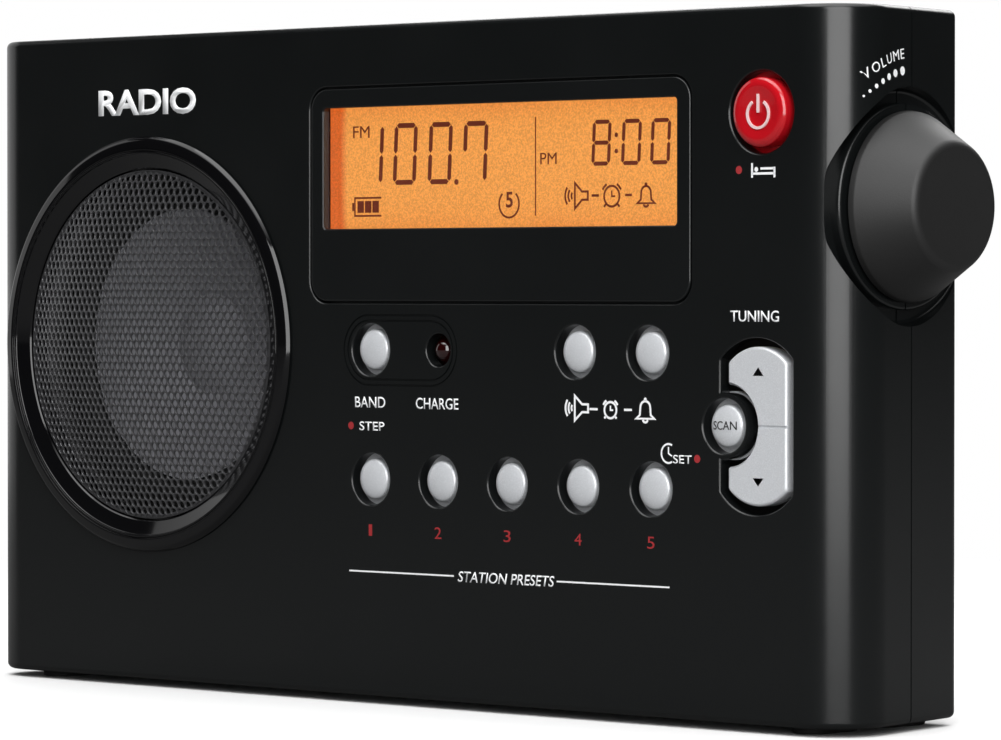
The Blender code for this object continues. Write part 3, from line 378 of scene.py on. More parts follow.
# ---- node trees ----
def wire(tree: bpy.types.NodeTree, kind: str, inputs: dict[Any, Any] | None = None,
         **settings: Any) -> bpy.types.Node:
    """Adds a node to a tree.

    Args:
        tree: the shader or Geometry Nodes tree.
        kind: the node's type name.
        inputs: sockets by name or number, each with a value or the socket that feeds it.
        settings: the node's own properties.

    Returns:
        The node.
    """
    node = tree.nodes.new(kind)
    for key, value in settings.items():
        setattr(node, key, value)
    for key, value in (inputs or {}).items():
        if isinstance(value, bpy.types.NodeSocket):
            tree.links.new(value, node.inputs[key])
        else:
            node.inputs[key].default_value = value
    return node


class Grain(Enum):
    """How a finish's fine surface is patterned."""

    EVEN = "even"
    CELLS = "cells"
    BRUSHED = "brushed"


@dataclass(frozen=True)
class Finish:
    """A surface finish, made of a Principled shader with fine variation."""

    name: str  # the material's name
    colour: Colour  # linear base colour
    roughness: float  # middle roughness
    metallic: float = 0.0  # 0 for plastic, up to 1 for metal
    grain: float = 0.0002  # size of the fine surface pattern
    depth: float = 0.000004  # how deep that pattern is
    mottle: float = 0.08  # share by which the colour varies from place to place
    wear: float = 0.03  # how far the roughness varies
    coat: float = 0.0  # weight of a clear coat
    gloss: float = 0.5  # specular level
    pattern: Grain = Grain.EVEN  # kind of fine pattern
    glow: float = 0.0  # emission strength, in the base colour: the lit display's own light, but a painted glow on the printed inks
    clear: float = 0.0  # transmission weight

    @cache
    def material(self) -> bpy.types.Material:
        """Returns the material, made on first use."""
        made = bpy.data.materials.new(self.name)
        made.use_nodes = True
        tree = made.node_tree
        shader = tree.nodes["Principled BSDF"]
        space = wire(tree, "ShaderNodeTexCoord").outputs["Object"]
        if self.pattern is Grain.BRUSHED:
            stretch = wire(tree, "ShaderNodeMapping", {"Vector": space, "Scale": (0.04, 1.0, 1.0)})
            space = stretch.outputs["Vector"]
        if self.pattern is Grain.CELLS:
            fine = wire(tree, "ShaderNodeTexVoronoi", {"Vector": space, "Scale": 1 / self.grain})
            height = fine.outputs["Distance"]
        else:
            fine = wire(tree, "ShaderNodeTexNoise",
                        {"Vector": space, "Scale": 1 / self.grain, "Detail": 3.0})
            height = fine.outputs["Fac"]
        broad = wire(tree, "ShaderNodeTexNoise", {"Vector": space, "Scale": 45.0, "Detail": 4.0})
        mix = wire(tree, "ShaderNodeMapRange",
                   {"Value": height, "To Min": 1 - self.mottle, "To Max": 1 + self.mottle})
        tint = wire(tree, "ShaderNodeVectorMath",
                    {0: self.colour, "Scale": mix.outputs["Result"]}, operation="SCALE")
        rough = wire(tree, "ShaderNodeMapRange",
                     {"Value": broad.outputs["Fac"], "From Min": 0.3, "From Max": 0.7,
                      "To Min": self.roughness - self.wear, "To Max": self.roughness + self.wear})
        bump = wire(tree, "ShaderNodeBump", {"Height": height, "Distance": self.depth, "Strength": 1.0})
        tree.links.new(tint.outputs[0], shader.inputs["Base Color"])
        tree.links.new(rough.outputs["Result"], shader.inputs["Roughness"])
        tree.links.new(bump.outputs["Normal"], shader.inputs["Normal"])
        shader.inputs["Metallic"].default_value = self.metallic
        shader.inputs["Specular IOR Level"].default_value = self.gloss
        shader.inputs["Coat Weight"].default_value = self.coat
        shader.inputs["Coat Roughness"].default_value = 0.04
        shader.inputs["Transmission Weight"].default_value = self.clear
        # on the lit display this emission is its own light; on the printed inks it is a painted glow
        shader.inputs["Emission Strength"].default_value = self.glow
        shader.inputs["Emission Color"].default_value = (*self.colour, 1.0)
        return made


@dataclass(frozen=True)
class LitGlass:
    """The glowing face of the display: amber, redder at its lit end and towards its edges."""

    name: str = "lit_display"  # the material's name
    amber: Colour = (0.92, 0.36, 0.075)  # the colour in the middle
    ember: Colour = (0.70, 0.13, 0.018)  # the colour at the lit end and the edges
    strength: float = 1.0  # emission strength
    speck: float = 0.00032  # size of the diffuser's grain

    @cache
    def material(self) -> bpy.types.Material:
        """Returns the material, made on first use."""
        made = bpy.data.materials.new(self.name)
        made.use_nodes = True
        tree = made.node_tree
        shader = tree.nodes["Principled BSDF"]
        low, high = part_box("lcd_panel")
        space = wire(tree, "ShaderNodeTexCoord").outputs["Object"]
        place = wire(tree, "ShaderNodeSeparateXYZ", {0: space})
        end = wire(tree, "ShaderNodeMapRange",
                   {"Value": place.outputs["X"], "From Min": low.x + 0.0024, "From Max": low.x + 0.0040})
        rise = wire(tree, "ShaderNodeMapRange",
                    {"Value": place.outputs["Z"], "From Min": low.z, "From Max": high.z, "To Min": -1.0})
        edge = wire(tree, "ShaderNodeMath", {0: rise.outputs["Result"], 1: 4.0}, operation="POWER")
        speck = wire(tree, "ShaderNodeTexNoise", {"Vector": space, "Scale": 1 / self.speck, "Detail": 1.0})
        cloud = wire(tree, "ShaderNodeTexNoise", {"Vector": space, "Scale": 60.0, "Detail": 2.0})
        warm = wire(tree, "ShaderNodeMath", {0: cloud.outputs["Fac"], 1: edge.outputs[0]},
                    operation="MULTIPLY")
        share = wire(tree, "ShaderNodeMath", {0: end.outputs["Result"], 1: warm.outputs[0]},
                     operation="SUBTRACT", use_clamp=True)
        blend = wire(tree, "ShaderNodeMix", {"Factor": share.outputs[0]}, data_type="RGBA")
        blend.inputs[6].default_value = (*self.ember, 1.0)
        blend.inputs[7].default_value = (*self.amber, 1.0)
        grain = wire(tree, "ShaderNodeMapRange",
                     {"Value": speck.outputs["Fac"], "From Min": 0.3, "From Max": 0.7,
                      "To Min": 0.82, "To Max": 1.18})
        lit = wire(tree, "ShaderNodeVectorMath",
                   {0: blend.outputs[2], "Scale": grain.outputs["Result"]}, operation="SCALE")
        tree.links.new(lit.outputs[0], shader.inputs["Emission Color"])
        shader.inputs["Emission Strength"].default_value = self.strength
        shader.inputs["Base Color"].default_value = (0.05, 0.03, 0.02, 1.0)
        shader.inputs["Roughness"].default_value = 0.5
        return made


SATIN_BLACK = Finish("satin_black", (0.0052, 0.0060, 0.0062), 0.23, grain=0.00022, depth=0.0000035,
                     mottle=0.35, gloss=0.5)
PLATE_BLACK = Finish("plate_black", (0.0055, 0.0063, 0.0066), 0.24, grain=0.00022, depth=0.000003,
                     mottle=0.30)
GLOSS_BLACK = Finish("gloss_black", (0.003, 0.003, 0.0035), 0.07, depth=0.0000003, wear=0.02)
MESH_PAINT = Finish("mesh_paint", (0.11, 0.11, 0.115), 0.28, metallic=0.6, depth=0.000002)
SOFT_TOUCH = Finish("soft_touch", (0.0110, 0.0110, 0.0110), 0.50, grain=0.00030, depth=0.000012,
                    mottle=0.25, gloss=0.55)
SILVER_PAINT = Finish("silver_paint", (0.78, 0.80, 0.83), 0.34, metallic=0.30, grain=0.00016,
                      depth=0.000006, mottle=0.12, pattern=Grain.CELLS)
RED_GLOSS = Finish("red_gloss", (0.50, 0.006, 0.012), 0.16, depth=0.0000005, coat=0.6)
RUBBER = Finish("rubber", (0.012, 0.012, 0.012), 0.75, grain=0.0004, depth=0.00001)
CONE_PAPER = Finish("cone_paper", (0.34, 0.34, 0.37), 0.85, grain=0.0006, depth=0.00003, mottle=0.2)
# the white print's glow of 0.12 is painted brightness, a self-lit glow standing in for light falling on the
# ink
WHITE_INK = Finish("white_ink", (0.86, 0.87, 0.88), 0.6, mottle=0.03, glow=0.12)
# the red print's glow of 0.04 is painted brightness, a self-lit glow standing in for light falling on the ink
RED_INK = Finish("red_ink", (0.36, 0.022, 0.026), 0.6, mottle=0.06, glow=0.04)
BLACK_INK = Finish("black_ink", (0.006, 0.006, 0.006), 0.6, mottle=0.05)
PINK_INK = Finish("pink_ink", (0.86, 0.62, 0.62), 0.5, mottle=0.03)
LCD_INK = Finish("lcd_ink", (0.10, 0.018, 0.008), 0.6, mottle=0.10, glow=1.0)
CLEAR_LENS = Finish("clear_lens", (1.0, 1.0, 1.0), 0.0, depth=0.0, mottle=0.0, wear=0.0, gloss=0.35,
                    clear=1.0)
LAMP_LENS = Finish("lamp_lens", (0.016, 0.001, 0.001), 0.04, depth=0.0000002, coat=1.0)
CHROME = Finish("chrome", (0.82, 0.82, 0.83), 0.10, metallic=1.0, depth=0.0000004, wear=0.03, mottle=0.02)
PLATED_STEEL = Finish("plated_steel", (0.62, 0.62, 0.60), 0.28, metallic=1.0, depth=0.000002,
                      pattern=Grain.BRUSHED)
FERRITE = Finish("ferrite", (0.035, 0.035, 0.038), 0.55, grain=0.0005, depth=0.00002)
COPPER_WIRE = Finish("copper_wire", (0.70, 0.30, 0.13), 0.30, metallic=1.0, depth=0.00001)
BOARD_GREEN = Finish("board_green", (0.012, 0.09, 0.03), 0.35, mottle=0.25, coat=0.4)
CELL_SLEEVE = Finish("cell_sleeve", (0.05, 0.055, 0.065), 0.25, coat=0.6)
LIGHT_GUIDE = Finish("light_guide", (0.9, 0.6, 0.35), 0.4, glow=0.3)


def fit_out(piece: Object, finish: Finish | LitGlass, body: str,
            replaces: Sequence[str] = ()) -> Object:
    """Gives a finished piece its material and its place in the model.

    Args:
        piece: the piece, with its final mesh.
        finish: its finish.
        body: the CAD body that it moves with.
        replaces: CAD nodes that it stands for.

    Returns:
        The piece.
    """
    piece.data.materials.clear()
    piece.data.materials.append(finish.material())
    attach(piece, body)
    if replaces:
        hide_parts(*replaces)
    log.info("%s: %d faces on %s", piece.name, len(piece.data.polygons), body)
    return piece


def repaint(finish: Finish | LitGlass, *nodes: str) -> None:
    """Gives CAD nodes that stay in the model a finish."""
    for node in nodes:
        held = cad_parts[node]
        held.data.materials.clear()
        held.data.materials.append(finish.material())
        log.info("%s: CAD node in %s", node, finish.name)


class Recipe:
    """A Geometry Nodes tree, put together step by step and then run.

    Attributes:
        tree: the node tree.
        sizes: its named inputs with their values.
    """

    def __init__(self, name: str, sizes: dict[str, float | int]) -> None:
        """Starts a tree with a named input for each size.

        Args:
            name: the tree's name, and that of the object it makes.
            sizes: the inputs' names and values; whole numbers become integer inputs.
        """
        self.name = name
        self.sizes = sizes
        self.tree = bpy.data.node_groups.new(name, "GeometryNodeTree")
        face = self.tree.interface
        face.new_socket("Geometry", in_out="INPUT", socket_type="NodeSocketGeometry")
        face.new_socket("Geometry", in_out="OUTPUT", socket_type="NodeSocketGeometry")
        self.keys = {}
        for label, value in sizes.items():
            kind = "NodeSocketInt" if isinstance(value, int) else "NodeSocketFloat"
            self.keys[label] = face.new_socket(label, in_out="INPUT", socket_type=kind).identifier
        self.start = self.tree.nodes.new("NodeGroupInput")
        self.end = self.tree.nodes.new("NodeGroupOutput")

    def add(self, kind: str, inputs: dict[Any, Any] | None = None, **settings: Any) -> bpy.types.Node:
        """Returns a new Geometry Nodes node with its inputs set or linked."""
        return wire(self.tree, kind, inputs, **settings)

    def step(self, kind: str, inputs: dict[Any, Any] | None = None, **settings: Any) -> bpy.types.NodeSocket:
        """Returns the first output of a new node."""
        return self.add(kind, inputs, **settings).outputs[0]

    def size(self, label: str) -> bpy.types.NodeSocket:
        """Returns the socket of a named size."""
        return self.start.outputs[label]

    def sum(self, operation: str, *values: Any) -> bpy.types.NodeSocket:
        """Returns the result of a Math node on values or sockets."""
        return self.add("ShaderNodeMath", dict(enumerate(values)), operation=operation).outputs[0]

    def run(self, geometry: bpy.types.NodeSocket, finish: Finish,
            start: bpy.types.Mesh | None = None) -> Object:
        """Realizes the geometry, sets its material and turns it into a plain mesh.

        Args:
            geometry: the last step's output.
            finish: the material to set.
            start: the mesh that the tree works from, or None.

        Returns:
            An object named for the recipe, still in the casing's frame.
        """
        real = self.step("GeometryNodeRealizeInstances", {0: geometry})
        dressed = self.step("GeometryNodeSetMaterial", {"Geometry": real, "Material": finish.material()})
        self.tree.links.new(dressed, self.end.inputs[0])
        made = bpy.data.objects.new(self.name, start or bpy.data.meshes.new(self.name))
        link(made)
        modifier = made.modifiers.new(self.name, "NODES")
        modifier.node_group = self.tree
        for label, value in self.sizes.items():
            modifier[self.keys[label]] = value
        return settle(made)


# ---- casing ----
@dataclass(frozen=True)
class CaseSizes:
    """Sizes of the casing that its packed boxes don't give."""

    wall: float = 0.0022  # thickness of the walls
    corner: float = 0.0090  # radius of the upright front corners
    rear_corner: float = 0.0030  # radius of the upright rear corners
    taper: float = 10.4  # lean of each side, in degrees
    edge: float = 0.0010  # rounding of the top and bottom edges
    depth: float = 0.0334  # front panel to the back of the sides
    parting: float = 0.0182  # where the two shells meet
    hump_half: float = 0.0750  # half the hump's width
    hump_low: float = 0.0025  # underside of the hump
    hump_high: float = 0.0970  # top of the hump
    hump_round: float = 0.0014  # rounding of the hump's edges
    # section of the round dish that the knob stands in
    dish: Profile = ((0.0, -0.0024), (0.0176, -0.0024), (0.0179, -0.0004), (0.0183, 0.0022), (0.0186, 0.03),
                     (0.0, 0.03))
    dish_rounds: tuple[float, ...] = (0, 0.0006, 0.003, 0, 0, 0)  # its fillets
    # section of the raised disc under the knob
    seat: Profile = ((0.0, -0.0046), (0.0156, -0.0046), (0.0156, -0.0006), (0.0, -0.0006))
    seat_rounds: tuple[float, ...] = (0, 0, 0.0005, 0)  # its fillets
    backing: float = 0.0046  # thickness of the wall behind the knob
    backing_radius: float = 0.020  # radius of that thick part
    speaker_hole: float = 0.0315  # radius of the opening for the loudspeaker
    hole_depth: float = 0.006  # how deep the front panel's cutters go
    hole_edge: float = 0.0003  # rounding of small openings
    pocket: float = 0.0013  # depth of the recess for the display plate
    pocket_corner: float = 0.0037  # its corner radius
    window_clear: float = 0.0008  # how far the opening behind the window reaches past it
    rocker_clear: float = 0.0013  # gap round the tuning rocker
    rocker_edge: float = 0.00035  # rounding of its opening
    collar: float = 0.0050  # radius of the wall round the scan button
    # section of the fine grooves round the band button and the charge lamp
    groove: Profile = ((-0.00022, 0.0002), (0.00022, 0.0002), (0.00008, -0.00022), (-0.00008, -0.00022))
    groove_step: float = 0.0009  # distance between those two grooves
    bay_front: float = 0.0276  # front wall of the battery bay
    bay_wall: float = 0.0015  # thickness of the bay's walls
    door_lap: float = 0.0018  # how far the door laps over the bay's edge
    post: float = 0.0046  # radius of a screw post
    post_long: float = 0.0138  # length of a screw post
    # section of a screw's tunnel
    tunnel: Profile = ((0.0, -0.0060), (0.0029, -0.0060), (0.0029, -0.0003), (0.0034, 0.0004), (0.0034, FAR),
                       (0.0, FAR))
    pilot: float = 0.0015  # radius of a screw's pilot hole
    jack_depth: float = 0.014  # how deep the sockets' holes go
    spigot: float = 0.0023  # radius of the hole for the aerial's spigot
    foot_round: float = 0.0003  # rounding under the feet
    smooth: float = 34.0  # angle in degrees up to which the shells are shaded smooth


CASE = CaseSizes()
CASE_LOW, CASE_HIGH = corners("front_shell")
BACK_Y = corners("rear_shell")[1].y
HALF_WIDTH = (CASE_HIGH.x - CASE_LOW.x) / 2
HEIGHT = CASE_HIGH.z
KNOB = Vector((corners("volume_knob")[0].x, centre_of("volume_knob").y, centre_of("volume_knob").z))
SPEAKER = on_face("speaker_bezel")


def side_x(y: float) -> float:
    """Returns where the right side stands at a depth, on its round corner or its lean."""
    lean = radians(CASE.taper)
    hub = HALF_WIDTH - CASE.corner
    if y < CASE.corner * (1 + sin(lean)):
        return hub + sqrt(max(CASE.corner**2 - (CASE.corner - y) ** 2, 0.0))
    reach = hub * cos(lean) + CASE.corner * sin(lean) + CASE.corner
    return (reach - y * sin(lean)) / cos(lean)


def case_outline(inset: float) -> list[Point]:
    """Gives the casing seen from above.

    Args:
        inset: how far the outline is moved inwards.

    Returns:
        (x, y) points, anticlockwise, of a count that the inset doesn't change.
    """
    radius, lean = CASE.corner - inset, radians(CASE.taper)
    rear = max(CASE.rear_corner - inset, GAP)
    hub = HALF_WIDTH - CASE.corner
    right = arc(hub, CASE.corner, radius, -90, CASE.taper, 28)
    reach = right[-1][0] * cos(lean) + right[-1][1] * sin(lean)
    rear_y = CASE.depth - inset - rear
    rear_x = (reach - rear - rear_y * sin(lean)) / cos(lean)
    right += arc(rear_x, rear_y, rear, CASE.taper, 90, 8)
    return right + [(-x, y) for x, y in reversed(right)]


@dataclass(frozen=True)
class Casing:
    """The two shells, with every opening, and the rubber feet."""

    sizes: CaseSizes = CASE  # the casing's sizes

    def blank(self, name: str) -> Object:
        """Returns the solid casing without its hump, its edges rounded."""
        round_off, steps = self.sizes.edge, 6
        turns = [pi / 2 * i / steps for i in range(steps + 1)]
        levels = [(round_off * (1 - sin(t)), round_off * (1 - cos(t))) for t in turns]
        levels += [(inset, HEIGHT - z) for inset, z in reversed(levels)]
        return loft(name, [[Vector((x, y, z)) for x, y in case_outline(inset)] for inset, z in levels])

    def hollow(self, name: str) -> Object:
        """Returns a cutter for the inside, thick behind the volume knob."""
        s = self.sizes
        rows = [[Vector((x, y, z)) for x, y in case_outline(s.wall)] for z in (s.wall, HEIGHT - s.wall)]
        at = Vector((KNOB.x - s.backing, KNOB.y, KNOB.z))
        boss = rod(name + "_boss", s.backing_radius, 0.0, FAR, at, Facing.RIGHT, 64)
        return combine(loft(name, rows), [boss])

    def dish(self) -> Object:
        """Returns a cutter for the round dish that the knob stands in."""
        return lathe("dish", soften(self.sizes.dish, self.sizes.dish_rounds), KNOB, Facing.RIGHT, 160)

    def seat(self) -> Object:
        """Returns the raised disc under the knob."""
        return lathe("seat", soften(self.sizes.seat, self.sizes.seat_rounds), KNOB, Facing.RIGHT, 160)

    def trim(self, shell: Object, front: bool) -> Object:
        """Cuts a shell off at the parting line, and leaves half the gap.

        Args:
            shell: the shell.
            front: True to keep the front part, False to keep the rear one.

        Returns:
            The shell.
        """
        line, reach = self.sizes.parting, 0.3
        if front:
            return combine(shell, [block("trim", (-reach, line - GAP / 2, -reach), (reach, reach, reach))])
        return combine(shell, [block("trim", (-reach, -reach, -reach), (reach, line + GAP / 2, reach))])

    def screw_places(self) -> list[Point]:
        """Returns x and z of each casing screw."""
        names = [f"case_screw_{row}_{side}" for row in ("low", "high") for side in ("left", "right")]
        return [(centre_of(name).x, centre_of(name).z) for name in names]

    def front_cutters(self) -> list[Object]:
        """Returns a cutter for each opening and groove of the front panel."""
        s, proud = self.sizes, 0.002
        cutters = [bore("speaker_hole", s.speaker_hole, 0.0002, (SPEAKER.x, SPEAKER.z), s.hole_depth)]
        low, high = corners("display_plate")

        def recess(grow: float) -> list[Point]:
            """Returns the display plate's recess, moved outwards by an amount."""
            more = GAP + grow
            return rounded_box(low.x - more, high.x + more, low.z - more, high.z + more,
                               s.pocket_corner + grow)

        cutters.append(front_loft("pocket", recess, mouth(s.hole_edge) + [(0.0, -low.y - s.pocket)]))
        cutters.append(front_loft("window", lambda grow: window_outline(s.window_clear + grow),
                                  [(0, proud), (0, -s.hole_depth)]))
        for name, hole, fillet in KEY_HOLES:
            at = centre_of(name)
            cutters.append(bore(name + "_hole", hole, fillet, (at.x, at.z), s.hole_depth))
        rocker = front_loft("rocker_hole", lambda grow: rocker_outline(s.rocker_clear + grow),
                            mouth(s.rocker_edge) + [(0, -s.hole_depth)])
        ring = rod("collar", s.collar, proud, -0.01, on_face("scan_button"), Facing.FRONT, 64)
        cutters.append(combine(rocker, [ring]))
        for name, inset in (("pill", 0.0), ("pill_inner", s.groove_step)):
            cutters.append(front_loft(name, lambda grow: pill_outline(grow - inset), s.groove, ring=True))
        return cutters

    def build_front(self) -> Object:
        """Builds the front shell."""
        shell = combine(self.blank("front_casing"), [self.hollow("front_hollow"), self.dish()])
        combine(shell, [self.seat()], "UNION")
        combine(shell, self.front_cutters())
        self.trim(shell, front=True)
        return polish(shell, self.sizes.smooth)

    def rear_cutters(self) -> list[Object]:
        """Returns a cutter for the battery bay, each screw, each socket and the aerial's spigot."""
        s = self.sizes
        low, high = corners("battery_door")
        bay_half = high.x - s.door_lap
        cutters = [block("bay", (-bay_half, s.bay_front, low.z + s.door_lap),
                         (bay_half, BACK_Y + FAR, high.z - s.door_lap)),
                   block("rebate", (low.x - GAP, low.y - GAP, low.z - GAP),
                         (high.x + GAP, BACK_Y + FAR, high.z + GAP))]
        for i, (x, z) in enumerate(self.screw_places()):
            cutters.append(lathe(f"tunnel_{i}", s.tunnel, Vector((x, s.depth, z)), Facing.BACK, 40))
            at = Vector((x, s.depth - s.hole_depth, z))
            cutters.append(rod(f"pilot_{i}", s.pilot, -FAR, 0.004, at, Facing.BACK, 24))
        for name in ("headphone_jack", "line_in_jack", "dc_jack"):
            low, high = corners(name)
            at = Vector((low.x, (low.y + high.y) / 2, (low.z + high.z) / 2))
            radius = (high.z - low.z) / 2 + GAP
            cutters.append(rod(name + "_hole", radius, -s.jack_depth, FAR, at, Facing.LEFT, 48))
        post = centre_of("aerial_ring")
        at = Vector((post.x, post.y, s.hump_high))
        return cutters + [rod("spigot_hole", s.spigot, -0.005, FAR, at, Facing.UP, 40)]

    def build_rear(self) -> Object:
        """Builds the rear shell with its hump, battery bay, screw posts and jack holes."""
        s = self.sizes
        shell = combine(self.blank("rear_casing"), [self.dish()])
        hump = block("hump", (-s.hump_half, s.depth - s.wall, s.hump_low), (s.hump_half, BACK_Y, s.hump_high),
                     s.hump_round)
        combine(shell, [self.seat(), hump], "UNION")
        hollow = block("hump_hollow", (s.wall - s.hump_half, s.bay_front, s.hump_low + s.wall),
                       (s.hump_half - s.wall, BACK_Y - s.wall, s.hump_high - s.wall))
        combine(shell, [self.hollow("rear_hollow"), hollow])
        door = corners("battery_door")[1]
        reach, roof = door.x - s.door_lap + s.bay_wall, door.z - s.door_lap + s.bay_wall
        walls = block("bay_walls", (-reach, s.bay_front - s.bay_wall, s.hump_low + s.wall / 2),
                      (reach, BACK_Y - s.wall / 2, roof))
        posts = [rod(f"post_{i}", s.post, 0.0, s.post_long, Vector((x, s.parting, z)), Facing.BACK, 32)
                 for i, (x, z) in enumerate(self.screw_places())]
        combine(shell, [walls, *posts], "UNION")
        combine(shell, self.rear_cutters())
        self.trim(shell, front=False)
        return polish(shell, s.smooth)

    def build_feet(self) -> None:
        """Builds the four rubber bars, with soft edges."""
        for end in ("front", "rear"):
            for side in ("left", "right"):
                low, high = corners(f"foot_{end}_{side}")
                middle, round_off = (low + high) / 2, self.sizes.foot_round
                levels = [(0.0, high.z), (0.0, low.z + round_off), (round_off * 0.3, low.z + round_off * 0.3),
                          (round_off, low.z)]
                reach, radius = (high.y - low.y) / 2, (high.x - low.x) / 2
                rows = []
                for inset, z in levels:
                    bar = arc(0, reach - radius, radius - inset, 0, 180, 16)
                    bar += arc(0, radius - reach, radius - inset, 180, 360, 16)
                    rows.append([Vector((middle.x + x, middle.y + y, z)) for x, y in bar])
                foot = polish(loft(f"rubber_foot_{end}_{side}", rows), 50)
                fit_out(foot, RUBBER, "casing", [f"foot_{end}_{side}"])

    def build(self) -> None:
        """Builds and dresses the casing."""
        fit_out(self.build_front(), SATIN_BLACK, "casing", ["front_shell"])
        fit_out(self.build_rear(), SATIN_BLACK, "casing", ["rear_shell"])
        self.build_feet()


# ---- outlines of the front panel ----
SMALL_KEYS = [f"preset_button_{i + 1}" for i in range(5)]
SMALL_KEYS += ["band_button", "alarm_button_1", "alarm_button_2", "scan_button"]
KEY_HOLES = [(name, 0.0042, 0.00035) for name in SMALL_KEYS]  # node, radius, edge rounding
KEY_HOLES += [("power_button", 0.0062, 0.0004), ("charge_led", 0.0026, 0.0003)]


def window_outline(grow: float) -> list[Point]:
    """Returns the display window, moved outwards by an amount."""
    low, high = corners("display_plate")
    left, right, bottom, top = low.x + 0.0028, high.x - 0.0028, low.z + 0.0117, high.z - 0.0031
    return rounded_box(left - grow, right + grow, bottom - grow, top + grow, 0.0006 + grow)


def pill_outline(grow: float) -> list[Point]:
    """Returns the groove round the band button and the charge lamp."""
    band, lamp = centre_of("band_button"), centre_of("charge_led")
    radius = 0.0056 + grow
    middle = band.z - 0.0001
    right = arc(lamp.x - 0.0015, middle, radius, -90, 90, 24)
    return right + arc(band.x - 0.0004, middle, radius, 90, 270, 24)


def rocker_outline(grow: float) -> list[Point]:
    """Gives the tuning rocker from the front, with its straight sides and round ends.

    Args:
        grow: how far the outline is moved outwards.

    Returns:
        (x, z) points, anticlockwise.
    """
    middle = centre_of("tuning_rocker")
    half, crown, rise, soft, steps = 0.0058 + grow, 0.0081 + grow, 0.0039, 0.0008, 20
    spread = degrees(asin(half / crown))
    ends = arc(0, rise, crown, 90 - spread, 90 + spread, steps)
    ends += arc(0, -rise, crown, 270 - spread, 270 + spread, steps)
    z = centre_of("scan_button").z
    shape = [(middle.x + x, z + y) for x, y in ends]
    bends = (0, steps, steps + 1, 2 * steps + 1)
    radii = [soft if i in bends else 0 for i in range(len(shape))]
    return soften([shape[-1], *shape, shape[0]], [0, *radii, 0])[1:-1]


